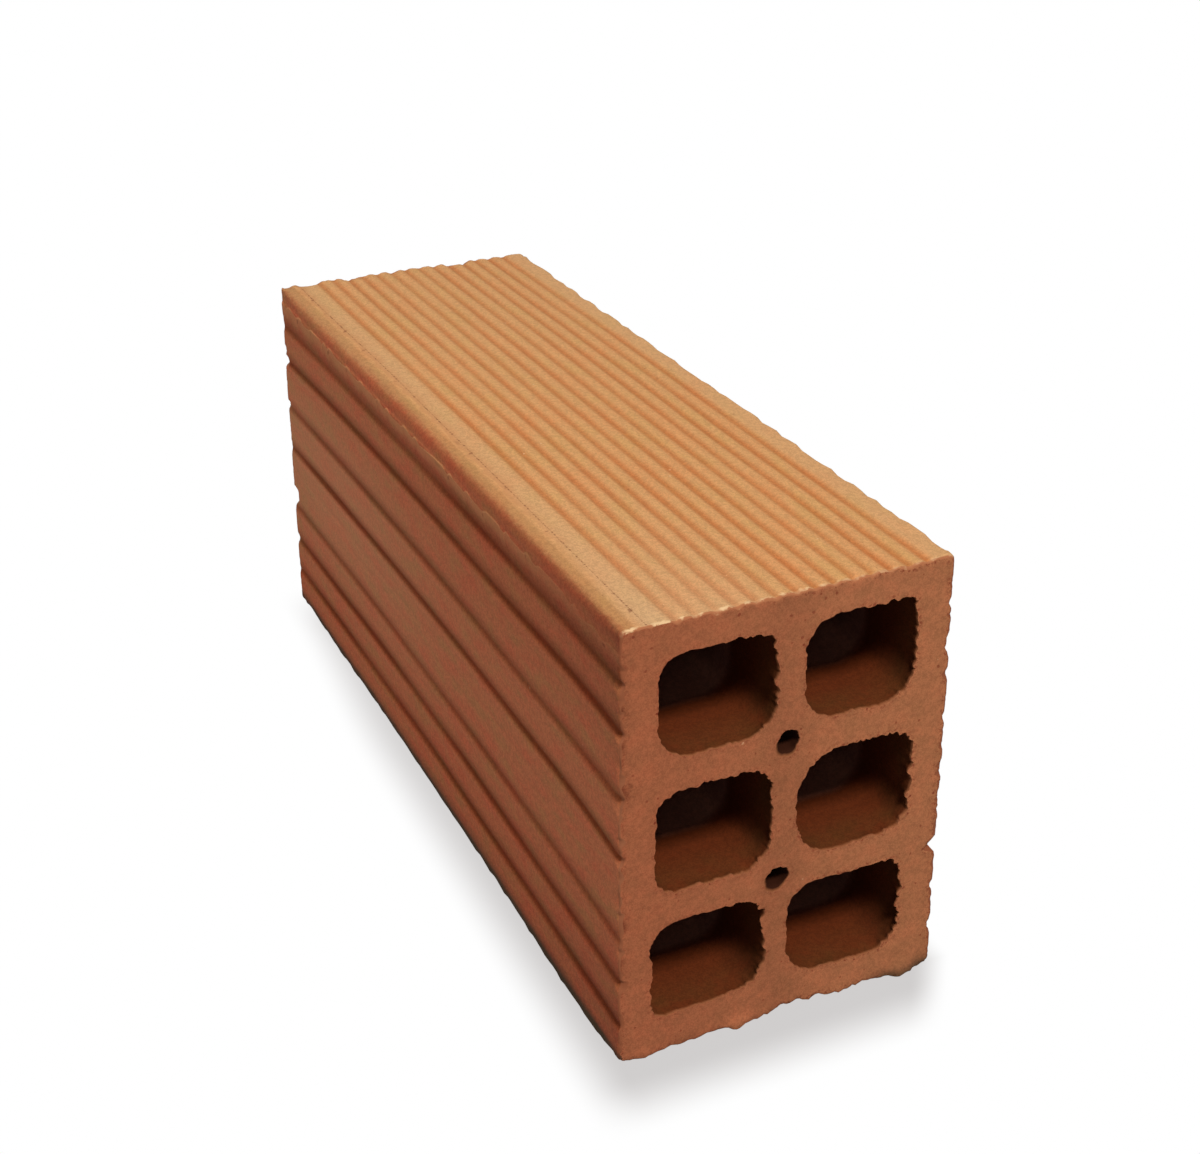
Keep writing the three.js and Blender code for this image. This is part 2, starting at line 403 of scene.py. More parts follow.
# bottom, right, top, left
WORN_RADII = {FRONT: (0.35, 0.6, 0.3, 0.45), REAR: (0.6, 0.5, 0.4, 0.3)}
CRUMBLE = {FRONT: (0.9, 1.2, 0.6, 1.5), REAR: (0.6, 0.8, 1.2, 0.7)}
CHIPS = {
    # end, side: (place along that side from its low or left end, half width, reach along, depth)
    (FRONT, BOTTOM): [
        (48.5, 7.0, 4.0, 1.4), (26.0, 5.0, 3.0, 0.6), (56.5, 3.0, 4.0, 1.5), (70.2, 1.8, 3.0, 0.9),
    ],
    (FRONT, RIGHT): [
        (39.0, 2.6, 6.5, 3.2), (14.6, 2.0, 4.0, 1.1), (26.5, 1.6, 3.0, 0.8), (55.0, 2.0, 3.0, 0.7),
        (77.0, 1.6, 3.0, 0.8), (98.0, 2.8, 4.0, 1.2), (108.5, 1.8, 3.0, 0.7),
    ],
    (FRONT, LEFT): [
        (106.8, 1.7, 3.0, 1.2), (94.6, 1.6, 2.5, 0.9), (87.0, 2.6, 2.0, 0.5), (76.6, 2.6, 3.0, 0.9),
        (61.8, 1.8, 2.0, 0.8), (50.0, 3.0, 2.0, 0.4), (25.5, 1.8, 2.0, 0.7),
    ],
    (FRONT, TOP): [
        (64.0, 5.0, 2.0, 0.5),
    ],
    (REAR, LEFT): [
        (99.5, 2.0, 3.0, 0.6), (95.5, 2.2, 3.5, 1.1), (78.5, 1.8, 2.5, 0.7), (42.5, 4.2, 5.0, 2.2),
        (26.0, 2.0, 2.5, 0.6),
    ],
    (REAR, TOP): [
        (2.0, 2.4, 3.0, 1.0), (10.0, 4.6, 3.0, 1.1), (25.0, 4.5, 3.0, 0.9), (41.0, 2.6, 2.5, 0.6),
        (65.0, 5.5, 3.0, 1.0),
    ],
}


def quarter_round(away, radius):
    """How far a quarter round turns in at a distance e from the end: r - sqrt(r^2 - (r - e)^2)."""
    left_over = np.clip(radius - away, 0, radius)
    return radius - np.sqrt(radius**2 - left_over**2)


def arris_wear(end, seed):
    """How far the arris at one end is turned in or knocked off, stations by places.

    At a corner it is held short of crossing over.
    """
    away = np.abs(skin_along - end * half)[:, None]
    base, crumble = np.array(WORN_RADII[end])[skin_side], np.array(CRUMBLE[end])[skin_side]
    teeth = np.clip(noise(skin_round * 280, away / 1.5, seed + 5, 280) - 0.25, 0, 1)
    bites = np.clip(rough(skin_round * 150, away / 4, seed + 8, 150) - 0.1, 0, 1)
    radius = base * (1 + 0.45 * rough(skin_round * 130, 0.5, seed, 130)) + crumble * (teeth + 1.6 * bites)
    worn = quarter_round(away, np.clip(radius, 0.15, None))
    ragged = 1 + 0.35 * noise(skin_round * 210, away / 2, seed + 5, 210)
    for side in (BOTTOM, RIGHT, TOP, LEFT):
        for at, half_width, reach, depth in CHIPS.get((end, side), ()):
            across = np.abs(natural - at) / half_width
            window = np.clip(1.25 - across**1.6 * 1.25, 0, 1) * (skin_side == side)
            worn = np.maximum(worn, depth * window * ragged * np.clip(1 - away / reach, 0, 1) ** 0.8)
    lengths = skin_size[[0, 1, 0, 1]][skin_side]
    first_radius, last_radius = skin_radii[skin_side].T, skin_radii[(skin_side + 1) % 4].T
    room = np.minimum(np.maximum(first_radius, skin_place), np.maximum(last_radius, lengths - skin_place))
    return np.minimum(worn, 0.8 * room)


front_wear, rear_wear = arris_wear(FRONT, 51), arris_wear(REAR, 57)
outline = outline + facing * (proud - front_wear - rear_wear)[..., None]
print("arris worn by up to", front_wear.max().round(2), "mm in front and", rear_wear.max().round(2), "behind")

# %% [markdown]
# ## The cells and the pin holes
# Cores on a bridge in the die leave six cells, and the two pins of the bridge leave a small hole at each
# crossing of the webs. A cell is a tube of the same rounded outline. Inside it is smooth and only waves a
# little. At the mouth the wire tore the wet rim, so the outline is ragged there over the first few
# millimetres and its lip is turned out on a small quarter round. No two cores wore alike, so each cell
# has its own sides, corner radii and raggedness, and one of them a corner cut off aslant.

# %% Cell outlines
CELLS = {
    # name: sides from the low left corner (left, right, low, high), corner radii,
    # raggedness (bottom, right, top, left)
    "low_left": ((8.6, 39.7, 10.7, 38.1), (4.5, 8.0, 6.5, 6.5), (0.7, 2.0, 0.5, 0.9)),
    "low_right": ((46.5, 79.8, 9.9, 37.4), (10.5, 8.5, 6.0, 7.5), (0.6, 1.8, 0.6, 0.6)),
    "middle_left": ((9.5, 40.9, 46.6, 75.1), (6.5, 8.5, 7.0, 7.0), (0.9, 1.1, 1.0, 0.4)),
    "middle_right": ((47.8, 80.4, 46.0, 75.3), (11.0, 9.0, 6.0, 12.5), (0.5, 1.8, 0.8, 0.7)),
    "high_left": ((9.9, 40.9, 84.0, 111.1), (9.0, 8.0, 4.5, 6.5), (0.7, 1.6, 0.8, 0.4)),
    "high_right": ((48.9, 80.0, 84.3, 111.6), (9.5, 8.5, 2.6, 8.5), (0.6, 1.1, 0.7, 0.7)),
}
CELL_PLACES, CELL_STEPS = 236, np.array([0, 0.3, 0.9, 2.0, 4.2, 9.0, 24.0])
LIP_RADIUS, TEAR_REACH, TEAR_PACE = 0.1, 1.3, 1.7
CELL_WAVE = 0.18


def tube_stations(steps):
    """Stations from one end to the other that repeat the steps from both ends."""
    return np.concatenate([steps - half, half - steps[::-1]])


def tear(around, count, seed):
    """A torn rim, as a share of its raggedness: layered noise with its inner peaks pulled into teeth."""
    facets = rough(around * (count // 3), 0.5, seed, count // 3, layers=2)
    teeth = np.abs(noise(around * count, 2.5, seed + 9, count))
    crumbs = noise(around * 2 * count, 4.5, seed + 12, 2 * count)
    return 0.75 * facets - 1.1 * teeth + 0.3 * crumbs + 0.25


def cell_tube(sides, radii, ragged, seed):
    """One cell wall, stations by places: the outline waved along its length and torn at both mouths."""
    low, size = skin_low + [sides[0], sides[2]], np.array([sides[1] - sides[0], sides[3] - sides[2]])
    around = np.arange(CELL_PLACES) / CELL_PLACES
    turn = around * 2 * size.sum()
    starts = np.array([0, size[0], size.sum(), size.sum() + size[0]])
    side = np.searchsorted(starts, turn, "right") - 1
    along = tube_stations(CELL_STEPS)
    place = np.broadcast_to(turn - starts[side], (len(along), CELL_PLACES))
    points, outward = rounded_outline(side, place, low, size, [r * np.ones(len(along)) for r in radii])
    away = inwards(along)[:, None]
    wave = CELL_WAVE * noise(around * 17, along[:, None] / 55, seed, 17)
    share = np.interp(turn, np.append(starts + size[[0, 1, 0, 1]] / 2, 2 * size.sum()), [*ragged, ragged[0]])
    count = round(2 * size.sum() / TEAR_PACE)
    torn = share * np.where(along[:, None] < 0, tear(around, count, seed), tear(around, count, seed + 20))
    shift = wave + torn * np.exp(-((away / TEAR_REACH) ** 2)) + quarter_round(away, LIP_RADIUS)
    return points + outward * shift[..., None], along


cell_tubes = {name: cell_tube(*facts, 70 + 40 * n) for n, (name, facts) in enumerate(CELLS.items())}
print("six cell mouths, each with", CELL_PLACES, "places round it")

# %% Pin holes
PIN_RADIUS = 3.0
PINS = {"low_pin": (-1.7, 42.2), "high_pin": (-0.1, 80.8)}
PIN_PLACES, PIN_STEPS = 40, np.array([0, 0.3, 0.8, 1.6, 3.0, 20.0])
PIN_LIP = 1.1


def pin_tube(centre, seed):
    """A round hole with a torn rim, whose low left side is turned out on a wider lip than the rest."""
    angle = 2 * np.pi * np.arange(PIN_PLACES) / PIN_PLACES
    outward = np.stack([np.cos(angle), np.sin(angle)], -1)
    along = tube_stations(PIN_STEPS)
    away = inwards(along)[:, None]
    torn = 0.7 * rough(angle / (2 * np.pi) * 9, 0.5, seed, 9) * np.exp(-away / 2)
    lip = 0.2 + PIN_LIP * np.clip(np.cos(angle - np.radians(235)), 0, 1)
    radius = PIN_RADIUS - 0.1 + torn + quarter_round(away, lip)
    return np.array(centre) + outward * radius[..., None], along


pin_tubes = {name: pin_tube(centre, 401 + 7 * n) for n, (name, centre) in enumerate(PINS.items())}
print("pin holes at", PINS)

# %% [markdown]
# ## The cut faces
# The wire drags through stiff clay and leaves a face that is flat overall but torn and granular close
# up. Its height is a function of (x, z): a slow wave, lumps of a few millimetres and grains of less than
# one, with small pits. The rims of the skin, the cells and the pin holes take their height from the same
# function, so all the surfaces meet.

# %% Relief of a cut face
FRONT_SEED, REAR_SEED = 600, 640
LIP_PLACES = (3, 6.5, 9.5, 12, 28.5, 32, 34.5, 37.5, 41, 43, 59, 62, 65, 67, 76, 80, 83, 86)
LIP_OUT = (0, 0.9, 0.3, 0, 0, 1.7, 1.2, 0.2, 0.9, 0, 0, 0.7, 0.3, 0, 0, 1.8, 1.5, 0)


def cut_relief(x, z, seed):
    """Height of a cut face above its plane: layered noise at three sizes, less pits.

    In front, clay is pushed out along the foot.
    """
    slow = 0.32 * noise(x / 31, z / 27, seed)
    lumps = 0.06 * rough(x / 4.3, z / 4.3, seed + 3)
    grains = 0.05 * rough(x / 1.6, z / 1.6, seed + 7, layers=2)
    pits = 0.5 * np.clip(noise(x / 1.9, z / 1.9, seed + 11) - 0.66, 0, 1)
    at_foot = np.exp(-(((z - LOW[2]) / 2.4) ** 2)) * (seed == FRONT_SEED)
    pushed = np.interp(x - LOW[0], LIP_PLACES, LIP_OUT) * at_foot
    return slow + lumps + grains - pits + pushed


def raised(points, along, reach=2.5):
    """Places in 3-D: each station is moved by the relief of its cut face, and less and less inwards."""
    place = np.empty((*points.shape[:2], 3))
    place[..., 0], place[..., 2] = points[..., 0], points[..., 1]
    away = inwards(along)[:, None]
    front = -cut_relief(*points[0].T, FRONT_SEED) * (along[:, None] < 0)
    rear = cut_relief(*points[-1].T, REAR_SEED) * (along[:, None] >= 0)
    place[..., 1] = along[:, None] + (front + rear) * np.exp(-away / reach)
    return place


skin_grid = raised(outline, skin_along)
tube_grids = {name: raised(*tube) for name, tube in {**cell_tubes, **pin_tubes}.items()}
rims = [skin_grid] + list(tube_grids.values())
print("relief of the front rim:", np.ptp(skin_grid[0, :, 1]).round(2), "mm from low to high")

# %% [markdown]
# A cut face has holes in it, so no grid fits. Grains are scattered between the rims on a jittered lattice,
# and a Delaunay triangulation that keeps every edge of the rims joins them all.

# %% Triangles over a cut face
GRAIN_SPACING, GRAIN_JITTER, RIM_GAP = 0.74, 0.36, 0.4


def inside_rim(points, rim):
    """Even-odd rule: a point is inside where a ray towards +x crosses the rim an odd number of times."""
    x, z = points[:, :1], points[:, 1:]
    x0, z0 = rim.T
    x1, z1 = np.roll(rim, -1, 0).T
    rise = np.where(z1 == z0, 1, z1 - z0)
    crosses = ((z0 > z) != (z1 > z)) & (x < x0 + (z - z0) * (x1 - x0) / rise)
    return crosses.sum(1) % 2 == 1


def on_face(points, outlines):
    """Inside the skin's rim and outside every mouth."""
    kept = inside_rim(points, outlines[0])
    for mouth in outlines[1:]:
        kept &= ~inside_rim(points, mouth)
    return kept


def nearest_rim(points, outlines):
    """Distance to the nearest rim point or middle of a rim edge."""
    found = np.full(len(points), np.inf)
    for rim in outlines:
        marks = np.concatenate([rim, (rim + np.roll(rim, -1, 0)) / 2])
        away = np.hypot(points[:, :1] - marks[:, 0], points[:, 1:] - marks[:, 1])
        found = np.minimum(found, away.min(1))
    return found


def cut_face(end, seed):
    """Grains on a jittered lattice between the rims, their distances to a rim, and the triangles of all.

    The triangles number the rim points first.
    """
    outlines = [grid[0 if end == FRONT else -1][:, [0, 2]] for grid in rims]
    x, z = np.meshgrid(
        np.arange(LOW[0], HIGH[0], GRAIN_SPACING), np.arange(LOW[2], HIGH[2], GRAIN_SPACING), indexing="ij"
    )
    grains = np.stack([x.ravel(), z.ravel()], -1)
    jitter = np.random.default_rng(seed).uniform(-GRAIN_JITTER, GRAIN_JITTER, grains.shape)
    grains = grains + jitter * GRAIN_SPACING
    grains = grains[on_face(grains, outlines)]
    rim_distance = nearest_rim(grains, outlines)
    grains, rim_distance = grains[rim_distance > RIM_GAP], rim_distance[rim_distance > RIM_GAP]
    flat = np.concatenate([*outlines, grains])
    edges = []
    for rim in outlines:
        first = len(edges)
        edges += [(first + k, first + (k + 1) % len(rim)) for k in range(len(rim))]
    made = delaunay_2d_cdt([Vector(p) for p in flat], edges, [], 0, 1e-6)
    origin = np.array([given[0] if given else -1 for given in made[3]])
    triangles = origin[np.array(made[2])]
    if (origin < 0).any() or len(origin) != len(flat):
        raise ValueError("the rims of a cut face cross or touch")
    triangles = triangles[on_face(flat[triangles].mean(1), outlines)]
    height = cut_relief(*grains.T, seed)
    place = np.stack([grains[:, 0], end * (half + height), grains[:, 1]], -1)
    return place, rim_distance, triangles


front_face, rear_face = cut_face(FRONT, FRONT_SEED), cut_face(REAR, REAR_SEED)
print("cut faces:", len(front_face[2]), "and", len(rear_face[2]), "triangles")

# %% [markdown]
# ## One closed mesh
# The surfaces share their rim points, so together they close the brick with no gap. Each surface gives
# its faces, a rectangle of the brick's own UV map and a finish. The skin takes most of the map, the cut
# faces come next, and the cell walls, which only show near their mouths, get narrow strips that give
# those mouths the most room.

# %% Faces of a grid and places on the map
SKIN_FINISH, CUT_FINISH, CELL_FINISH = range(3)
SKIN_MAP = (0.004, 0.362, 0.992, 0.634)
FACE_MAPS = {FRONT: (0.006, 0.008, 0.255, 0.34), REAR: (0.267, 0.008, 0.255, 0.34)}
STRIPS_MAP = (0.528, 0.06, 0.468, 0.292)
PIN_MAP = (0.528, 0.008, 0.468, 0.044)
STRIP_GAP = 0.004


def on_map(u, v, box):
    """Shares of a rectangle (left, low, width, height) of the map."""
    u, v = np.broadcast_arrays(u, v)
    return np.stack([box[0] + u * box[2], box[1] + v * box[3]], -1)


def grid_faces(index, places, outward):
    """Quads between the neighbours in a closed grid, with their map places; outward turns them."""
    def corners(grid):
        quad = [grid[:-1, :-1], grid[1:, :-1], grid[1:, 1:], grid[:-1, 1:]]
        return np.stack(quad if outward else quad[::-1], 2)
    wrapped = np.concatenate([index, index[:, :1]], 1)
    return corners(wrapped).reshape(-1, 4), corners(places).reshape(-1, 4, 2)


def mouth_first(along):
    """0 at the front end and 1 at the rear, with most of the change near both mouths."""
    away = inwards(along)
    share = 0.5 * (1 - np.exp(-away / 45)) / (1 - np.exp(-half / 45))
    return np.where(along < 0, share, 1 - share)


# %% Number the points and collect the faces
point_blocks = [grid.reshape(-1, 3) for grid in rims] + [front_face[0], rear_face[0]]
starts = np.cumsum([0] + [len(block) for block in point_blocks])
numbers = [start + np.arange(grid[..., 0].size).reshape(grid.shape[:2]) for start, grid in zip(starts, rims)]
face_sets = []

around_skin = np.append(skin_round, 1.0)
skin_map = on_map(around_skin, ((skin_along + half) / LENGTH)[:, None], SKIN_MAP)
face_sets.append((*grid_faces(numbers[0], skin_map, True), SKIN_FINISH))

for n, (name, (_, along)) in enumerate({**cell_tubes, **pin_tubes}.items()):
    around = np.linspace(0, 1, rims[1 + n].shape[1] + 1)
    if name in CELLS:
        left, low, width, height = STRIPS_MAP
        box = (left + n * width / len(CELLS), low, width / len(CELLS) - STRIP_GAP, height)
        places = on_map(around, mouth_first(along)[:, None], box)
    else:
        left, low, width, height = PIN_MAP
        box = (left, low + (n - len(CELLS)) * height / 2, width, height / 2 - STRIP_GAP)
        places = on_map(mouth_first(along)[:, None], around, box)
    face_sets.append((*grid_faces(numbers[1 + n], places, False), CELL_FINISH))

nominal = np.concatenate(point_blocks)
for end, (grains, _, triangles), first in ((FRONT, front_face, starts[-3]), (REAR, rear_face, starts[-2])):
    rim_numbers = np.concatenate([grid[0 if end == FRONT else -1] for grid in numbers])
    own = np.concatenate([rim_numbers, first + np.arange(len(grains))])
    corners = own[triangles if end == FRONT else triangles[:, ::-1]]
    share = (nominal[corners][..., [0, 2]] - skin_low) / skin_size
    face_sets.append((corners, on_map(share[..., 0], share[..., 1], FACE_MAPS[end]), CUT_FINISH))

print(len(nominal), "points and", sum(len(f) * (f.shape[1] - 2) for f, _, _ in face_sets), "triangles")

# %% [markdown]
# ## Warp
# A fired brick is a little out of true. Each corner is moved by its own millimetre or two, and everything
# between follows in proportion.

# %% Move the corners
CORNER_MOVES = np.array(
    # (left, right) by (front, rear) by (bottom, top), each (x, y, z)
    [
        [[(-0.5, -1.6, -0.4), (1.5, -0.4, 0.5)], [(0.8, -1.2, -0.4), (0.1, 0.4, 0.4)]],
        [[(-1.8, 1.2, 0.6), (0.5, -0.3, 1.0)], [(0.0, 0.0, 0.4), (-0.9, 0.5, 0.4)]],
    ]
)


def warped(points):
    """Each point plus the corner moves, weighted by how near it is to each corner along the three axes."""
    share = (points - LOW) / (HIGH - LOW)
    across, along, up = np.moveaxis(np.stack([1 - share, share], 1), 2, 0)
    return points + np.einsum("nr,ns,nt,rstk->nk", along, across, up, CORNER_MOVES)


# %% [markdown]
# ## Marks that follow the shape
# Many marks belong to a place on the brick: iron settles in the grooves, and painted shade darkens the land
# that slopes in above each side groove's root; painted shade darkens the rounded left arris and the left side
# near the front; dirt and painted contact shade lie at the foot; and the bed face's tan stops along a
# wandering line over the left arris. Each of them is worked out here from the same numbers as the shape, as
# one value per point, and the mesh carries it to the finishes. Places are given in millimetres from the low
# or left arris.

# %% Values per point
EDGE_REACH = 1.3


def nothing(away):
    """0 everywhere."""
    return 0 * away


def near_edge(away):
    """e^(-d / reach) of the distance d from an edge."""
    return np.exp(-away / EDGE_REACH)


def block_values(skin, tube=nothing, face=nothing):
    """One number per point: an array for the skin, and a function for the tubes and one for the cut faces.

    The tubes' function takes the distance from the mouth, and the faces' the distance from a rim.
    """
    blocks = [np.broadcast_to(skin, skin_grid.shape[:2]).ravel()]
    for (_, along), grid in zip({**cell_tubes, **pin_tubes}.values(), rims[1:]):
        blocks.append(np.repeat(tube(inwards(along)), grid.shape[1]))
    return np.concatenate([*blocks, face(front_face[1]), face(rear_face[1])])


# %% Clay of the bed face, and painted shade on the arris
TAN_FROM = (-2.0, -1.9, -1.4, -4.5, -4.8)
TAN_TO = (3.1, 3.2, 4.5, 4.2, 3.6)
TAN_UNDERNEATH = 0.45
ARRIS_ON_TOP, ARRIS_ON_LEFT, ARRIS_FADE, ARRIS_FADING = (0.5, 3.5), (116, 119), 0.35, (80, 230)
BROW_SHADE, BROW_END = 0.82, (3.3, 5.2)

skin_front = from_front[:, None]
tan_from, tan_to = (np.interp(skin_front, BURR_STATIONS, stations) for stations in (TAN_FROM, TAN_TO))
over_arris = np.where(on_left, natural - HEIGHT, natural)
bed_share = np.where(on_top | on_left, ramp((over_arris - tan_from) / (tan_to - tan_from), 0, 1), 0.0)
bed_share = np.where(skin_side == BOTTOM, TAN_UNDERNEATH, bed_share)
# Painted shade on the rounded top left arris, fading towards the rear; the same darkening, weaker, lies on a
# band of the top beside the arris.
arris_shade_share = np.where(on_top, 1 - ramp(natural, *ARRIS_ON_TOP), ramp(natural, *ARRIS_ON_LEFT) * on_left)
arris_shade_share = arris_shade_share * (1 - ARRIS_FADE * ramp(skin_front, *ARRIS_FADING))
arris_shade_share = np.maximum(arris_shade_share, (1 - ramp(natural, *BROW_END)) * on_top * BROW_SHADE)
below_lip = np.where(on_left, burr_away, np.where(on_top, natural + BURR_HEIGHT - HEIGHT, FAR))
print("the tan covers", bed_share.mean().round(3), "of the skin's places")

# %% Cream, dust, painted shade on the left side, and wear
CREAM_BANDS = ((4.5, 6.5), (10, 14), (83, 86))
CREAM_IN_BANDS, CREAM_IN_FRONT, CREAM_BEHIND = 0.26, 0.42, 0.1
FRONT_CREAM_REACH, FRONT_CREAM_ACROSS = 34, ((3, 5), (20, 55))
BACK_PART = (60, 240)
DUST_HEIGHT, DUST_SPREAD, DUST_IN_FRONT, DUST_BEHIND = 64, 40, 0.05, 0.11
BITE_DEPTH, BITE_PALE = 1.6, 0.35
SIDE_SHADE_MIDDLE, SIDE_SHADE_CLEAR, SIDE_SHADE_RISE, SIDE_SHADE_REACH = 62, 18, 32, 55
FOOT_SHADE, WEAR_SHADE, LEFT_EDGE = (0.8, 8.0), 0.4, 0.9

behind = ramp(skin_front, *BACK_PART)
left_start, left_end, right_start = (ramp(natural, *band) for band in CREAM_BANDS)
inner, outer = (ramp(natural, *band) for band in FRONT_CREAM_ACROSS)
near_front = np.exp(-skin_front / FRONT_CREAM_REACH) * (1 - outer) * inner
cream = CREAM_IN_BANDS * (left_start * (1 - left_end) + right_start) + CREAM_IN_FRONT * near_front
cream = (cream + CREAM_BEHIND * behind) * on_top
dusty = np.clip(1.3 - np.abs(natural - DUST_HEIGHT) / DUST_SPREAD, 0, 1) * on_left * (1 - 0.9 * groove_mask)
rear_bites = np.clip(rear_wear / BITE_DEPTH, 0, 1) * on_left * (skin_along > 0)[:, None]
pale = np.clip((DUST_IN_FRONT + DUST_BEHIND * behind) * dusty + BITE_PALE * rear_bites, 0, 1)
# Painted shade on the left side near its front, growing towards its top and its foot.
left_side_shade = np.clip((np.abs(natural - SIDE_SHADE_MIDDLE) - SIDE_SHADE_CLEAR) / SIDE_SHADE_RISE, 0, 1)
left_side_shade = left_side_shade * np.exp(-skin_front / SIDE_SHADE_REACH) * on_left
skin_edge = near_edge(inwards(skin_along)[:, None]) + WEAR_SHADE * (front_wear + rear_wear)
skin_edge = np.clip(skin_edge, 0, 1) * np.where(on_left & (skin_front < half), LEFT_EDGE, 1.0)
on_skin = {
    "groove": groove_mask,
    "bed": bed_share,
    "arris": arris_shade_share,
    # darker foot of the left side: dirt and painted contact shade
    "foot": on_left * (1 - ramp(natural, *FOOT_SHADE)),
    "left_side_shade": left_side_shade,
    "cream": cream,
    "pale": pale,
    "below_lip": below_lip,
}
masks = {name: block_values(values) for name, values in on_skin.items()}
masks["edge"] = block_values(skin_edge, near_edge, near_edge)
masks["depth"] = block_values(0, lambda away: away)
print("marks on the skin:", list(masks))

# %% Dirt and painted contact shade at the foot, and darker patches beside the groove ends
DARK_GROOVE_ENDS = np.array(
    # height of a groove's end on the cut face, strength of its darkening
    [(30.0, 0.6), (41.5, 0.9), (61.0, 0.3), (78.0, 1.0), (91.0, 0.6), (100.0, 0.8), (108.0, 0.4)]
)
GROOVE_END_REACH, GROOVE_END_INWARDS = 4.5, 1.9
CONTACT_DARK_HEIGHT, LEFT_CONTACT_DARK_HEIGHT, LEFT_CONTACT_DARK_REACH = 1.2, 1.1, 1.5
SMEAR_HEIGHT, SMEAR_FROM_LEFT = 2.6, (70, 79)
FOOT_LINE, FOOT_LINE_FADE = 0.95, (0.6, 2.8)

from_left, from_end, height_up = (nominal - LOW).T
masks["from_left"], masks["from_front"] = from_left, from_end
# Dirt and painted contact shade next to the floor, in patches and heaviest along the left foot, with a dark
# smear under the front right corner and a dark line along the left foot.
left_foot = np.exp(-((from_left / LEFT_CONTACT_DARK_REACH) ** 2)) * (from_end > 1)
patches = 0.5 + 0.5 * noise(from_end / 4, from_left / 6, 95) + 0.6 * left_foot
ground = np.exp(-((height_up / (CONTACT_DARK_HEIGHT + LEFT_CONTACT_DARK_HEIGHT * left_foot)) ** 2)) * patches
smear = np.exp(-((height_up / SMEAR_HEIGHT) ** 2)) * ramp(-from_end, -12, -4)
smear = smear * ramp(from_left, *SMEAR_FROM_LEFT)
foot_top = 0.8 * np.interp(from_end, FOOT_STATIONS, FOOT_RADII) + 0.8 * rough(from_end / 4.5, 0.5, 96)
foot_line = (from_left < 4) * ramp(from_end, 0, 12) * ramp(-from_end, -268, -250)
foot_line = foot_line * (1 - ramp(height_up - foot_top, *FOOT_LINE_FADE))
masks["dirt_and_contact_shade"] = np.clip((0.5 + 0.4 * left_foot) * ground + smear + FOOT_LINE * foot_line, 0, 1)
# Darker patches on the cut face beside the ends of the side grooves.
groove_ends = bump(height_up[:, None] - DARK_GROOVE_ENDS[:, 0], GROOVE_END_REACH) * DARK_GROOVE_ENDS[:, 1]
masks["dark_groove_end"] = groove_ends.max(-1) * np.exp(-from_left / GROOVE_END_INWARDS) * (from_end < 3)
print("soot on", (masks["dirt_and_contact_shade"] > 0.5).sum(), "points")

# %% Marks in the cells and the pin holes
TURNED_FROM, TURNED_FROM_LOW, TURNED_FULL = 0.86, 0.72, 0.98
SCUFF_FROM_LEFT, SCUFF_HEIGHT = 34.6, 88.3

masks["turned"], masks["scuff"], masks["pin"] = np.zeros((3, len(nominal)))
for name, cell_grid in zip(CELLS, numbers[1:]):
    across = from_left[cell_grid]
    start = TURNED_FROM_LOW if name.startswith("low") else TURNED_FROM
    masks["turned"][cell_grid] = ramp((across - across.min()) / np.ptp(across), start, TURNED_FULL)
scuffed = numbers[1 + list(CELLS).index("high_left")]
scuff = np.exp(-(((from_left - SCUFF_FROM_LEFT) / 1.3) ** 2) - ((height_up - SCUFF_HEIGHT) / 1.5) ** 2)
masks["scuff"][scuffed] = (scuff * np.exp(-((from_end / 2.5) ** 2)))[scuffed]
# The inside of each pin hole is painted dark, as its shade.
for pin_grid in numbers[-len(PINS):]:
    masks["pin"][pin_grid[1:-1]] = 1
print("marks:", {name: round(float(values.mean()), 3) for name, values in masks.items()})

# %% Make the mesh
corner_numbers = np.concatenate([corners.ravel() for corners, _, _ in face_sets])
corner_map = np.concatenate([places.reshape(-1, 2) for _, places, _ in face_sets])
corner_counts = np.concatenate([np.full(len(corners), corners.shape[1]) for corners, _, _ in face_sets])
finishes = np.concatenate([np.full(len(corners), finish) for corners, _, finish in face_sets])

mesh = bpy.data.meshes.new("fired_brick")
mesh.vertices.add(len(nominal))
mesh.vertices.foreach_set("co", (warped(nominal) * MM).ravel())
mesh.loops.add(len(corner_numbers))
mesh.loops.foreach_set("vertex_index", corner_numbers)
mesh.polygons.add(len(corner_counts))
mesh.polygons.foreach_set("loop_start", np.cumsum(corner_counts) - corner_counts)
mesh.polygons.foreach_set("material_index", finishes)
mesh.polygons.foreach_set("use_smooth", np.ones(len(corner_counts), bool))
mesh.update(calc_edges=True)
on_rim = np.zeros(len(nominal), bool)
for grid in numbers[1:]:
    on_rim[grid[[0, -1]]] = True
ends_of_edges = np.empty(2 * len(mesh.edges), np.int32)
mesh.edges.foreach_get("vertices", ends_of_edges)
sharp = on_rim[ends_of_edges].reshape(-1, 2).all(1)
mesh.attributes.new("sharp_edge", "BOOLEAN", "EDGE").data.foreach_set("value", sharp)
mesh.uv_layers.new(name="OFBake").uv.foreach_set("vector", corner_map.ravel())
for name, values in masks.items():
    mesh.attributes.new(name, "FLOAT", "POINT").data.foreach_set("value", values.astype(np.float32))
changed = mesh.validate()
brick = add_object("fired_brick", mesh)
open_edges = len(mesh.edges) * 2 - len(mesh.loops)
print("mesh repaired:", changed, "- edges without two faces:", open_edges)

# %% [markdown]
# ## Values in a shader
# A finish is a tree of nodes. Spelled out node by node it is long and hard to follow, so here an output of
# a node is wrapped as a signal. Signals add, subtract, multiply and divide as numbers do, and each such
# step puts the matching node into their tree, so a material below reads like a list of layers of paint.
# Colours are written as the eye sees them, from 0 to 255, and turned into linear light for the renderer.

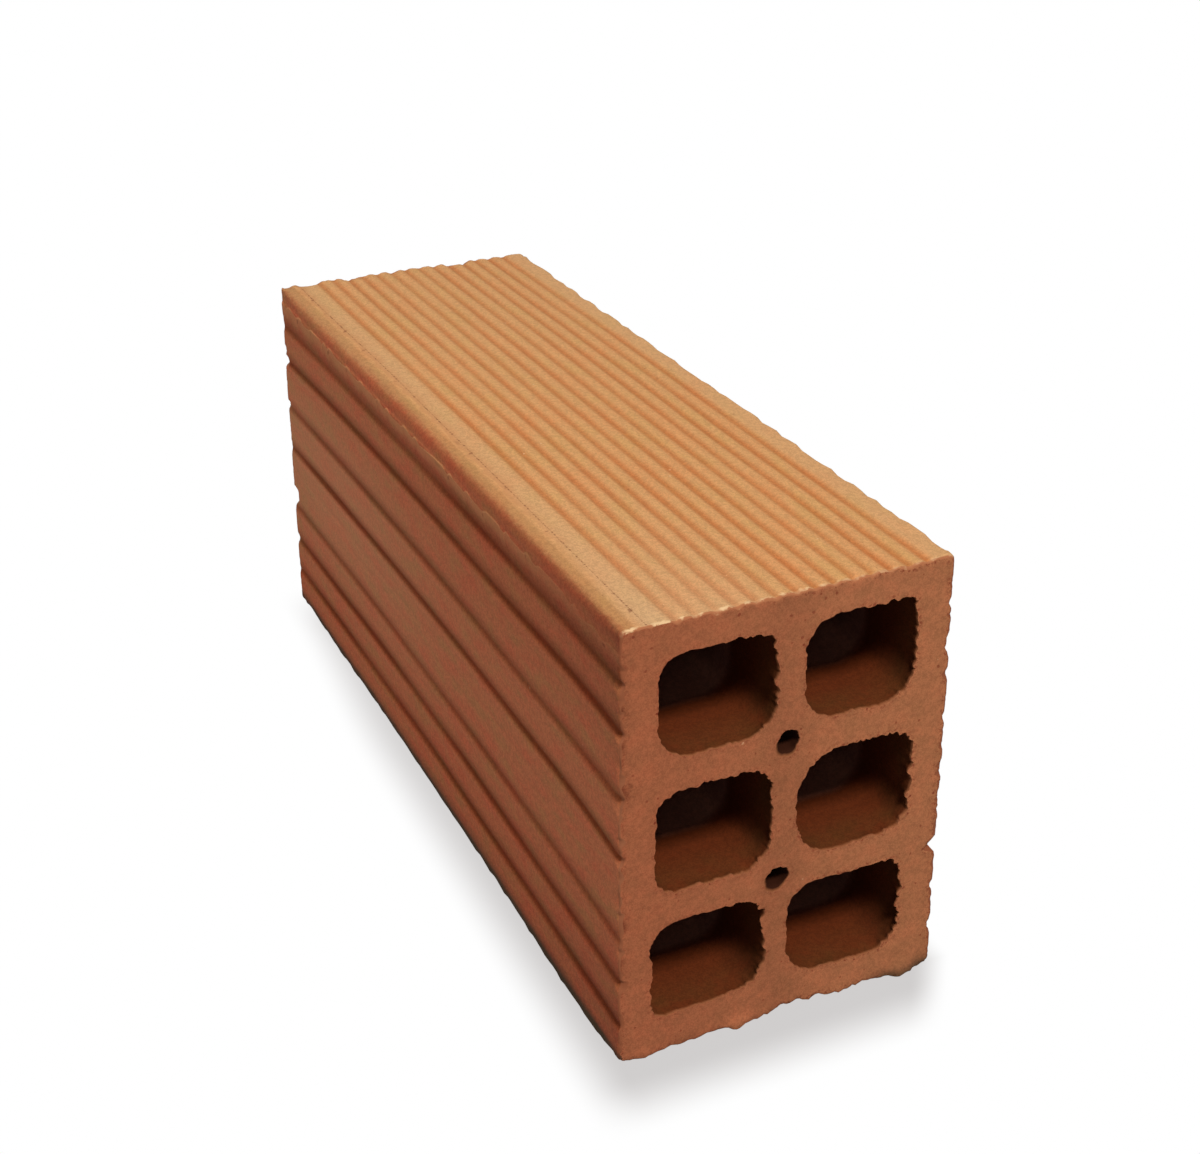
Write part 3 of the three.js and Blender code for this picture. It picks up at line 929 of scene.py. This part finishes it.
# %% Signals
class Signal:
    """An output of a node. A sum with it is a new node's output."""

    __array_ufunc__ = None  # leaves a sum that starts with one of numpy's numbers to the signal

    def __init__(self, socket):
        self.socket = socket

    def __add__(self, other):
        return maths("ADD", self, other)

    def __sub__(self, other):
        return maths("SUBTRACT", self, other)

    def __rsub__(self, other):
        return maths("SUBTRACT", other, self)

    def __mul__(self, other):
        return maths("MULTIPLY", self, other)

    def __truediv__(self, other):
        return maths("DIVIDE", self, other)

    def __rtruediv__(self, other):
        return maths("DIVIDE", other, self)

    def __abs__(self):
        return maths("ABSOLUTE", self)


def tree_of(*values):
    """The node tree of the first signal among the values."""
    return next(value.socket.id_data for value in values if isinstance(value, Signal))


def add_node(tree, kind, inputs=None, **settings):
    """A new node with its settings, its inputs linked to signals or set to plain values."""
    made = tree.nodes.new(kind)
    for name, value in settings.items():
        setattr(made, name, value)
    for name, value in (inputs or {}).items():
        if isinstance(value, Signal):
            tree.links.new(value.socket, made.inputs[name])
        else:
            made.inputs[name].default_value = value
    return made


def signal(tree, kind, inputs=None, output=0, **settings):
    """One output of a new node."""
    return Signal(add_node(tree, kind, inputs, **settings).outputs[output])


# %% Node helpers
def tint(red, green, blue):
    """A linear colour from one written on the 0 to 255 display scale."""
    shown = np.array([red, green, blue]) / 255
    linear = np.where(shown <= 0.04045, shown / 12.92, ((shown + 0.055) / 1.055) ** 2.4)
    return (*linear.tolist(), 1.0)


def maths(operation, first, second=0.0, clamp=False):
    inputs = {0: first, 1: second}
    return signal(tree_of(first, second), "ShaderNodeMath", inputs, operation=operation, use_clamp=clamp)


def blend(share, first, second, mode="MIX"):
    """The first colour turned into the second by the share."""
    inputs, tree = {0: share, 6: first, 7: second}, tree_of(share, first, second)
    return signal(tree, "ShaderNodeMix", inputs, 2, data_type="RGBA", blend_type=mode)


def between(value, low, high, to_low=0.0, to_high=1.0):
    """The value eased from to_low at low to to_high at high, and held outside."""
    inputs = {"Value": value, "From Min": low, "From Max": high, "To Min": to_low, "To Max": to_high}
    return signal(tree_of(value), "ShaderNodeMapRange", inputs, interpolation_type="SMOOTHSTEP")


def window(value, rise, full, fade, end):
    """0 before rise, 1 from full to fade, 0 after end."""
    return between(value, rise, full) * between(value, fade, end, 1.0, 0.0)


def stretched(vector, x, y, z):
    return signal(tree_of(vector), "ShaderNodeVectorMath", {0: vector, 1: (x, y, z)}, operation="MULTIPLY")


def noise_of(vector, scale, detail=2.0, roughness=0.55):
    inputs = {"Vector": vector, "Scale": scale, "Detail": detail, "Roughness": roughness}
    return signal(tree_of(vector), "ShaderNodeTexNoise", inputs)


def value_of(tree, name):
    """A mark that the mesh carries."""
    return signal(tree, "ShaderNodeAttribute", output="Fac", attribute_name=name)


def new_group(name, build, inputs, outputs):
    """A node group with sockets {name: kind}. build makes its outputs from its inputs, as signals by name."""
    group = bpy.data.node_groups.new(name, "ShaderNodeTree")
    for in_out, kinds in (("INPUT", inputs), ("OUTPUT", outputs)):
        for label, kind in kinds.items():
            group.interface.new_socket(label, in_out=in_out, socket_type="NodeSocket" + kind)
    given = group.nodes.new("NodeGroupInput").outputs
    results = group.nodes.new("NodeGroupOutput").inputs
    for label, made in build({label: Signal(given[label]) for label in inputs}).items():
        group.links.new(made.socket, results[label])
    return group


def use_group(group, inputs):
    """The outputs of a group that is given those inputs, as signals by name."""
    made = add_node(tree_of(*inputs.values()), "ShaderNodeGroup", inputs, node_tree=group)
    return {socket.name: Signal(socket) for socket in made.outputs}


# %% [markdown]
# ## Effects that the clay surfaces share
# Three groups carry the look of fired clay. The first drifts the tint between a redder and a more olive
# clay, in patches that can be drawn out along the brick. The second is the grain: fine grog and sand,
# as a shade and as a height for the bump. The third scatters flecks, dark where iron melted out and pale
# where lime or quartz sits in the clay.

# %% Clay tint, grain and flecks
GRAIN_AXIS, GRAIN_TURN = (0.5, 0.7, 0.5), 0.7


def clay_tint(given):
    """Noise over 0.5 turns the clay redder, and under 0.5 more olive."""
    drift = noise_of(given["Millimetres"], 1 / given["Patch size"], detail=3.0, roughness=0.6)
    colour = blend(between(drift, 0.50, 0.66) * given["Amount"], given["Clay"], given["Red clay"])
    return {"Colour": blend(between(drift, 0.50, 0.34) * given["Amount"], colour, given["Olive clay"])}


def clay_grain(given):
    """Coarse and fine noise, turned off the axes so that no lattice line shows on a flat face."""
    pace = 1 / given["Grain size"]
    inputs = {"Vector": given["Millimetres"], "Axis": GRAIN_AXIS, "Angle": GRAIN_TURN}
    turned = signal(tree_of(pace), "ShaderNodeVectorRotate", inputs)
    coarse, fine = noise_of(turned, pace * 0.35), noise_of(turned, pace, detail=3.0, roughness=0.75)
    height = coarse * 0.35 + fine * 0.65
    return {"Shade": between(height, 0.36, 0.64), "Height": height}


def clay_flecks(given):
    """At most one round spot in each Voronoi cell, whose random colour draws the spot's kind and size."""
    pace = 1 / given["Spacing"]
    inputs = {"Vector": given["Millimetres"], "Scale": pace, "Randomness": 1.0}
    cells = add_node(tree_of(pace), "ShaderNodeTexVoronoi", inputs).outputs
    drawn = add_node(tree_of(pace), "ShaderNodeSeparateColor", {0: Signal(cells["Color"])}).outputs
    kind, size = Signal(drawn[0]), Signal(drawn[1]) * 0.13 + 0.05
    away = Signal(cells["Distance"]) + (noise_of(given["Millimetres"], 1.6) - 0.5) * 0.25
    spot = between(maths("SUBTRACT", 1.0, away / size, clamp=True), 0.0, 0.5)
    dark = maths("LESS_THAN", kind, given["Dark share"])
    pale = maths("GREATER_THAN", kind, 1 - given["Pale share"])
    return {"Dark": spot * dark, "Pale": spot * pale}


# %% [markdown]
# The burr's lip is finer than the mesh, so a fourth group draws it: a torn line of painted highlight, a
# crease of painted shade over it, a band under it that is paler clay and painted lighter, a few pits painted
# dark as their shade and a ledge for the bump. Towards the rear the line creeps up over most of each tooth
# and then drops back.

# %% Torn lip
LIP_TOOTH, LIP_STEP = 13.0, 1.0


def torn_lip(given):
    """The lip runs where Below is 0. Forward is the distance from the front end. Both are millimetres."""
    forward = signal(tree_of(given["Forward"]), "ShaderNodeCombineXYZ", {0: given["Forward"]})
    uneven = noise_of(forward, 0.05, detail=1.0) * 40
    tooth = maths("FRACT", (given["Forward"] + uneven) / LIP_TOOTH)
    creep = between(tooth, 0.0, 0.65, -0.5, 0.5) - between(tooth, 0.65, 1.0)
    jag = (noise_of(forward, 0.8, detail=3.0) - 0.5) * 0.7
    below = given["Below"] + (creep * LIP_STEP + jag)
    dropping = between(tooth, 0.7, 0.8, 0.5, 1.0)
    broken = dropping * between(noise_of(forward, 0.35, detail=3.0), 0.36, 0.6, 0.45, 0.9)
    pitted = between(noise_of(forward, 0.16), 0.52, 0.58) * between(tooth, 0.7, 0.8)
    rearward = between(given["Forward"], 10.0, 90.0, 0.25, 1.0)
    return {
        "Crease": window(below, -1.5, -0.2, -0.1, 0.05) * rearward,
        "Band": window(below, -0.1, 0.15, 0.6, 4.5) * rearward,
        "Line": between(abs(below), 0.1, 0.32, 1.0, 0.0) * broken * rearward,
        "Pit shade": window(below, 0.4, 0.7, 1.2, 1.8) * pitted,
        "Height": window(below, -0.3, 0.1, 0.3, 5.0) * rearward,
    }


# %% Make the groups
TINTS = ("Clay", "Red clay", "Olive clay")
CLAY_TINT = new_group(
    "clay_tint",
    clay_tint,
    {"Millimetres": "Vector", **dict.fromkeys(TINTS, "Color"), "Patch size": "Float", "Amount": "Float"},
    {"Colour": "Color"},
)
CLAY_GRAIN = new_group(
    "clay_grain",
    clay_grain,
    {"Millimetres": "Vector", "Grain size": "Float"},
    {"Shade": "Float", "Height": "Float"},
)
CLAY_FLECKS = new_group(
    "clay_flecks",
    clay_flecks,
    {"Millimetres": "Vector", "Spacing": "Float", "Dark share": "Float", "Pale share": "Float"},
    {"Dark": "Float", "Pale": "Float"},
)
TORN_LIP = new_group(
    "torn_lip",
    torn_lip,
    {"Below": "Float", "Forward": "Float"},
    dict.fromkeys(("Crease", "Band", "Line", "Pit shade", "Height"), "Float"),
)
print("groups:", [group.name for group in bpy.data.node_groups])


# %% Steps of a clay material
def millimetres(tree):
    """The place on the piece."""
    return stretched(signal(tree, "ShaderNodeTexCoord", output="Object"), 1000, 1000, 1000)


def bare_material(name):
    """A material with an empty node tree, and that tree."""
    material = bpy.data.materials.new(name)
    material.use_nodes = True
    material.node_tree.nodes.clear()
    return material, material.node_tree


def start_material(name):
    """A material with one Principled shader, its tree, that shader and the place in millimetres."""
    material, tree = bare_material(name)
    shader = add_node(tree, "ShaderNodeBsdfPrincipled", {"Specular IOR Level": 0.12})
    add_node(tree, "ShaderNodeOutputMaterial", {"Surface": Signal(shader.outputs["BSDF"])})
    return material, tree, shader, millimetres(tree)


def finish_material(tree, shader, colour, roughness, height, bump_mm):
    """Feeds the shader; the height is in shares of bump_mm."""
    inputs = {"Height": height, "Distance": bump_mm * MM, "Strength": 1.0}
    relief = signal(tree, "ShaderNodeBump", inputs)
    for name, value in (("Base Color", colour), ("Roughness", roughness), ("Normal", relief)):
        tree.links.new(value.socket, shader.inputs[name])


def tinted(place, tints, patch_size, amount):
    """Clay that drifts between three tints: its own, a redder and a more olive one."""
    inputs = {"Millimetres": place, **dict(zip(TINTS, tints)), "Patch size": patch_size, "Amount": amount}
    return use_group(CLAY_TINT, inputs)["Colour"]


def grain_at(place, size):
    return use_group(CLAY_GRAIN, {"Millimetres": place, "Grain size": size})


def flecks_at(place, spacing, dark, pale):
    inputs = {"Millimetres": place, "Spacing": spacing, "Dark share": dark, "Pale share": pale}
    return use_group(CLAY_FLECKS, inputs)


def painted(colour, *coats):
    """The colour with each coat, (share, paint), laid over it in turn."""
    for share, paint in coats:
        colour = blend(share, colour, paint)
    return colour


def shaded(colour, *shades):
    """A share of the colour multiplied by a shade, for each (share, shade) in turn."""
    for share, shade in shades:
        colour = blend(share, colour, blend(1.0, colour, shade, "MULTIPLY"))
    return colour


def mottled(colour, value, low, high, dark, light):
    """The colour multiplied by a grey: dark where the value is low and light where it is high."""
    level = between(value, low, high, dark, light)
    grey = signal(tree_of(level), "ShaderNodeCombineColor", {0: level, 1: level, 2: level})
    return blend(1.0, colour, grey, "MULTIPLY")


# %% [markdown]
# ## The drawn skin
# Steam polish from the die and the kiln's flame make the bed face a light tan, while the sides fired
# redder, and near the left arris the one ends in the other along a torn line. The grooves hold a deeper
# orange, and on the sides painted shade darkens the land above each root. Painted shade also darkens the
# rounded left arris and the left side near its front. Streaks run lengthwise, as the clay did, and a
# hairline seam of uneven width lies near the left arris. The burr's lip is a torn line of painted
# highlight with a band under it that is paler clay and painted lighter, and the front edge of the bed face
# has a thin line of pale clay and painted highlight. Dust has settled on the left side, and dirt and
# painted contact shade darken its foot.

# %% Tints of the skin
BED_TINTS = tint(201, 147, 95), tint(205, 142, 90), tint(197, 149, 92)
SIDE_TINTS = tint(177, 97, 61), tint(182, 91, 58), tint(169, 102, 61)
CUT_TINTS = tint(169, 105, 69), tint(172, 100, 66), tint(165, 107, 69)
CREAM_CLAY, PALE_CLAY, PALE_FLECK = tint(198, 160, 118), tint(226, 188, 140), tint(226, 190, 146)
# The second and third colours paint dirt together with painted contact shade next to the floor.
DARK_FLECK, DIRT_AND_CONTACT_SHADE, FOOT_DIRT_AND_SHADE = tint(100, 46, 26), tint(66, 54, 36), tint(78, 52, 36)
# The lip colour is a painted highlight, and the band colour is paler clay painted lighter still.
LIP_HIGHLIGHT, PALE_LIT_BAND, WORN_CLAY = tint(206, 150, 98), tint(190, 130, 84), tint(145, 82, 53)
# The side grooves' colour is iron in the roots together with painted shade on the lands above them.
BED_STAIN, SIDE_STAIN_AND_SHADE = (0.81, 0.59, 0.46, 1.0), (0.42, 0.29, 0.14, 1.0)
# Painted shade on the rounded arris, and in the burr's crease.
ARRIS_SHADE, CREASE_SHADE = (0.715, 0.675, 0.64, 1.0), (1.0, 0.97, 0.95, 1.0)
# Painted shade for the left side near the front.
LEFT_SIDE_SHADE = (0.76, 0.72, 0.72, 1.0)
SEAM_FROM_LEFT, SEAM_WIDTH = 6.9, 0.24


# %% Lines on the skin
def ragged_share(share, place):
    """The share moved by noise where it is between 0 and 1, so that one clay ends along a torn line."""
    jag = noise_of(place, 0.8, detail=4.0, roughness=0.6) - 0.5
    return maths("ADD", share, share * (1 - share) * jag * 5, clamp=True)


def seam_mask(tree, place, bed):
    """A broken hairline beside the left arris, on the bed face only. It nears the arris towards the rear."""
    sway = (noise_of(stretched(place, 0, 0.09, 0), 1.0) - 0.5) * 0.35
    nearer = between(value_of(tree, "from_front"), 170.0, 240.0, 0.0, 0.9)
    away = abs(value_of(tree, "from_left") + (sway + nearer) - SEAM_FROM_LEFT)
    width = between(noise_of(place, 0.9), 0.42, 0.66, 0.6 * SEAM_WIDTH, 2.2 * SEAM_WIDTH)
    gaps = noise_of(stretched(place, 0.3, 1.0, 0), 1.0, detail=4.0, roughness=0.65)
    return between(away, 0.02, width, 1.0, 0.0) * between(gaps, 0.46, 0.58, 0.12, 1.0) * bed


def fringe_and_highlight_mask(tree, place, bed, groove):
    """A thin broken line of pale clay and painted highlight along the front edge of the bed face, on the
    lands and mostly towards the left.
    """
    away = value_of(tree, "from_front") + (noise_of(place, 0.9, detail=3.0) - 0.5) * 1.6
    line = window(away, 0.0, 0.2, 0.8, 1.3) * between(noise_of(place, 0.35), 0.42, 0.58)
    leftward = bed * between(value_of(tree, "from_left"), 25.0, 80.0, 1.0, 0.35)
    return line * (leftward * between(groove, 0.2, 0.8, 1.0, 0.25))


# %% Skin material
def skin_material():
    material, tree, shader, place = start_material("drawn_skin")
    drawn = stretched(place, 1, 0.35, 1)
    bed, groove = ragged_share(value_of(tree, "bed"), drawn), value_of(tree, "groove")
    colour = blend(bed, tinted(drawn, SIDE_TINTS, 5.5, 1.0), tinted(drawn, BED_TINTS, 8.0, 0.6))
    colour = shaded(
        colour,
        # grooves: iron, and on the sides painted shade on the land above each root
        (groove, blend(bed, SIDE_STAIN_AND_SHADE, BED_STAIN)),
        # painted shade on the rounded arris
        (value_of(tree, "arris"), ARRIS_SHADE),
        # painted shade on the left side near the front
        (value_of(tree, "left_side_shade"), LEFT_SIDE_SHADE),
    )
    colour = blend(value_of(tree, "cream"), colour, CREAM_CLAY)
    grain = grain_at(place, 0.42)
    dark, light = between(bed, 0, 1, 0.82, 0.86), between(bed, 0, 1, 1.17, 1.13)
    colour = mottled(colour, grain["Shade"], 0, 1, dark, light)
    lip = use_group(TORN_LIP, {"Below": value_of(tree, "below_lip"), "Forward": value_of(tree, "from_front")})
    flecks, seam = flecks_at(place, 2.2, 0.1, 0.08), seam_mask(tree, place, bed)
    colour = painted(
        shaded(colour, (lip["Crease"], CREASE_SHADE)),
        # paler clay under the lip, painted lighter where it faces up
        (lip["Band"] * 0.55, PALE_LIT_BAND),
        # painted highlight along the lip
        (lip["Line"] * 0.6, LIP_HIGHLIGHT),
        # pits under the lip, painted dark as their shade
        (lip["Pit shade"] * 0.5, DARK_FLECK),
        (flecks["Dark"] * between(bed, 0, 1, 0.5, 0.4), DARK_FLECK),
        (flecks["Pale"] * between(bed, 0, 1, 0.15, 0.5), PALE_FLECK),
        (seam * 0.8, DARK_FLECK),
        (between(value_of(tree, "edge"), 0.5, 0.8), blend(bed, WORN_CLAY, CUT_TINTS[0])),
        (value_of(tree, "pale"), PALE_CLAY),
        # pale clay and painted highlight along the front edge of the bed face
        (fringe_and_highlight_mask(tree, place, bed, groove) * 0.9, PALE_CLAY),
        # dirt and painted shade at the foot of the left side
        (value_of(tree, "foot") * 0.85, FOOT_DIRT_AND_SHADE),
        # dirt and painted contact shade next to the floor
        (value_of(tree, "dirt_and_contact_shade") * 0.85, DIRT_AND_CONTACT_SHADE),
    )
    height = grain["Height"] + lip["Height"] * 1.6 - (flecks["Dark"] + seam) * 0.35
    finish_material(tree, shader, colour, between(groove, 0, 1, 0.85, 0.95), height, 0.1)
    return material


# %% [markdown]
# ## The cut face
# Torn clay is matt and granular, and more even in tint than the skin. It is duller towards the left and
# along the middle web, and darker beside the ends of the side grooves. Near the arrises and the mouths it
# has more dark and rusty crumbs.

# %% Cut face material
CRUMB = tint(122, 52, 33)
LEFT_SHADE, WEB_SHADE = (0.89, 0.77, 0.78, 1.0), (0.86, 0.85, 0.86, 1.0)
GROOVE_END_DARKENING = (0.52, 0.42, 0.40, 1.0)
WEB_FROM_LEFT = 44.5


def cut_material():
    material, tree, shader, place = start_material("wire_cut_face")
    edge, from_left = value_of(tree, "edge"), value_of(tree, "from_left")
    colour = tinted(place, CUT_TINTS, 5.0, 0.35)
    colour = mottled(colour, noise_of(place, 0.2, roughness=0.5), 0.3, 0.7, 0.94, 1.05)
    on_web = between(abs(from_left - WEB_FROM_LEFT), 2.0, 10.0, 0.75, 0.0)
    colour = shaded(colour, (between(from_left, 4.0, 78.0, 1.0, 0.0), LEFT_SHADE), (on_web, WEB_SHADE))
    grain = grain_at(place, 0.4)
    colour = mottled(colour, grain["Shade"], 0, 1, 0.85, 1.14)
    ragged = noise_of(place, 0.5, detail=4.0, roughness=0.65) - 0.5
    # darker beside the ends of the side grooves
    colour = shaded(colour, (between(value_of(tree, "dark_groove_end") + ragged, 0.05, 0.7), GROOVE_END_DARKENING))
    close = maths("MAXIMUM", edge, between(from_left, 0.5, 4.0, 0.5, 0.0))
    crumbs = between(noise_of(place, 1.1, detail=4.0, roughness=0.7), 0.5, 0.64) * between(close, 0.12, 0.8)
    flecks = flecks_at(place, 3.0, 0.6, 0.04)
    colour = painted(
        colour,
        (crumbs * between(from_left, 35.0, 65.0, 0.5, 0.8), CRUMB),
        (flecks["Dark"] * between(edge, 0.0, 0.8, 0.6, 0.95), CRUMB),
        (flecks["Pale"] * 0.4, PALE_FLECK),
        # dirt and painted contact shade next to the floor
        (value_of(tree, "dirt_and_contact_shade") * 0.8, DIRT_AND_CONTACT_SHADE),
    )
    height = grain["Height"] - flecks["Dark"] * 0.25
    finish_material(tree, shader, colour, between(edge, 0, 1, 0.9, 0.95), height, 0.1)
    return material


# %% [markdown]
# ## The cell walls
# The cores left these walls smooth. A few millimetres in from the mouth they are painted a deeper brown-red:
# painted shade, where the light from the mouth fades. Farther in, where no light falls straight, they are
# painted pale so that what little light there is bounces on to the dark corners: painted light. The
# right-hand part of each cell is painted darkest, as painted shade, and the pin holes are painted dark as
# their shade. One scuff of fresh clay lies inside the high left mouth.

# %% Cell wall material
CELL_TINTS = tint(96, 49, 23), tint(100, 47, 22), tint(92, 50, 23)
# The second and third colours are painted shade and painted light in the cells, and the last is painted shade
# in the pin holes.
CELL_SHADE_PAINT, DEEP_LIGHT_LIFT, PIN_SHADE = tint(92, 40, 17), tint(214, 158, 136), tint(52, 25, 14)
TURNED_SHADE = (0.64, 0.66, 0.72, 1.0)


def cell_material():
    material, tree, shader, place = start_material("cell_wall")
    shader.inputs["Specular IOR Level"].default_value = 0.04
    depth, grain = value_of(tree, "depth"), grain_at(place, 0.5)
    colour = painted(
        tinted(place, CELL_TINTS, 7.0, 1.0),
        # painted shade where the light from the mouth fades
        (between(depth, 3.0, 15.0, 0.0, 0.9), CELL_SHADE_PAINT),
        # painted light: a pale colour deep in the cell, so that bounced light lifts its dark
        (between(depth, 20.0, 32.0), DEEP_LIGHT_LIFT),
    )
    colour = mottled(colour, grain["Shade"], 0, 1, 0.85, 1.14)
    colour = painted(
        shaded(colour, (value_of(tree, "turned"), TURNED_SHADE)),
        (between(value_of(tree, "edge"), 0.45, 0.95, 0.0, 0.6), CUT_TINTS[0]),
        # pin holes painted dark, as their shade
        (value_of(tree, "pin"), PIN_SHADE),
        (value_of(tree, "scuff") * between(grain["Shade"], 0.2, 0.8, 0.2, 0.8), PALE_CLAY),
    )
    finish_material(tree, shader, colour, between(grain["Shade"], 0, 1, 0.85, 0.95), grain["Height"], 0.12)
    return material


for material in (skin_material(), cut_material(), cell_material()):
    brick.data.materials.append(material)
print("finishes:", [material.name for material in brick.data.materials])

# %% Tell the frame what the brick is
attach(brick, "root")
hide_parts("brick_body")

# %% [markdown]
# ## Floor and light
# A plain white floor and soft studio light. The main light is a panel high in front, so steep that it
# reaches only a little way into the cells. A wider and weaker one behind on the left brings out the
# grooves of that side, a very weak one beside the camera lifts the dark of the cells, and the sky is faint
# and even. To the camera the floor glows white, with a thin, soft and slightly warm shadow painted where the
# brick meets it. To every other ray it is a dull grey, so that little light comes back up from it and the
# grooves keep their shade.

# %% Floor
FLOOR_HALF, FLOOR_DROP = 4.0, 0.9
SHADOW_DEPTH, SHADOW_ASIDE, SHADOW_AHEAD, SHADOW_SLIDE = 0.37, (7.5, 8.5), (6.0, 26.0), 0.72
SHADOW_TINT = (1.0, 0.93, 0.91, 1.0)
FLOOR_BOUNCE = 0.45


def shadow_level(x, y):
    """Brightness of the floor: 1 less a painted shadow, a footprint that is slid to the left and forwards,
    with soft edges.
    """
    from_rear = LENGTH / 2 - y
    ahead = from_rear - LENGTH
    shift, blur = SHADOW_ASIDE
    left = between(x + between(from_rear, 10.0, 110.0, 2.5, shift), -WIDTH / 2 - blur, -WIDTH / 2 + blur)
    slid = maths("MAXIMUM", ahead, 0.0) * SHADOW_SLIDE
    right = between(x + slid, WIDTH / 2 - 4, WIDTH / 2 + 9, 1.0, 0.0)
    front = between(ahead, *SHADOW_AHEAD, 1.0, 0.0)
    depth = between(from_rear, -16.0, 22.0, 0.0, 0.85 * SHADOW_DEPTH)
    depth = depth + between(from_rear, 70.0, LENGTH, 0.0, 0.15 * SHADOW_DEPTH)
    return 1 - left * right * (front * depth)


def floor_material():
    material, tree = bare_material("pale_floor")
    x, y, _ = add_node(tree, "ShaderNodeSeparateXYZ", {0: millimetres(tree)}).outputs
    # painted shadow where the brick meets the floor
    level = shadow_level(Signal(x), Signal(y))
    warm = blend(level, SHADOW_TINT, (1.0, 1.0, 1.0, 1.0))
    seen = signal(tree, "ShaderNodeEmission", {"Color": warm, "Strength": level})
    grey = (FLOOR_BOUNCE, FLOOR_BOUNCE, FLOOR_BOUNCE, 1)
    bounce = signal(tree, "ShaderNodeBsdfDiffuse", {"Color": grey})
    to_camera = signal(tree, "ShaderNodeLightPath", output="Is Camera Ray")
    mixed = signal(tree, "ShaderNodeMixShader", {0: to_camera, 1: bounce, 2: seen})
    add_node(tree, "ShaderNodeOutputMaterial", {"Surface": mixed})
    return material


corners = np.array([(-1, -1, 0), (1, -1, 0), (1, 1, 0), (-1, 1, 0)]) * FLOOR_HALF - [0, 0, FLOOR_DROP * MM]
sheet = bpy.data.meshes.new("floor")
sheet.from_pydata(corners.tolist(), [], [(0, 1, 2, 3)])
sheet.materials.append(floor_material())
floor = add_object("floor", sheet)


# %% Lights
def panel(name, place, target, size, watts):
    """A square area light at a place in metres, turned to face its target."""
    lamp = bpy.data.lights.new(name, "AREA")
    lamp.size, lamp.energy = size, watts
    made = add_object(name, lamp)
    made.location = place
    made.rotation_euler = (Vector(target) - Vector(place)).to_track_quat("-Z", "Y").to_euler()


SKY = 0.09
panel("left", (-0.78, 0.5, 0.8), (0, 0, 0.06), 0.72, 5.2)
panel("front", (0.0, -1.703, 2.476), (0, -0.135, 0.06), 0.544, 81.0)
panel("fill", (-0.26, -0.62, 0.42), (0, -0.05, 0.06), 0.1, 0.2)

world = bpy.data.worlds.new("sky")
world.use_nodes = True
world.node_tree.nodes["Background"].inputs["Color"].default_value = (1, 1, 1, 1)
world.node_tree.nodes["Background"].inputs["Strength"].default_value = SKY
bpy.context.scene.world = world
bpy.context.scene.view_settings.view_transform = "Standard"
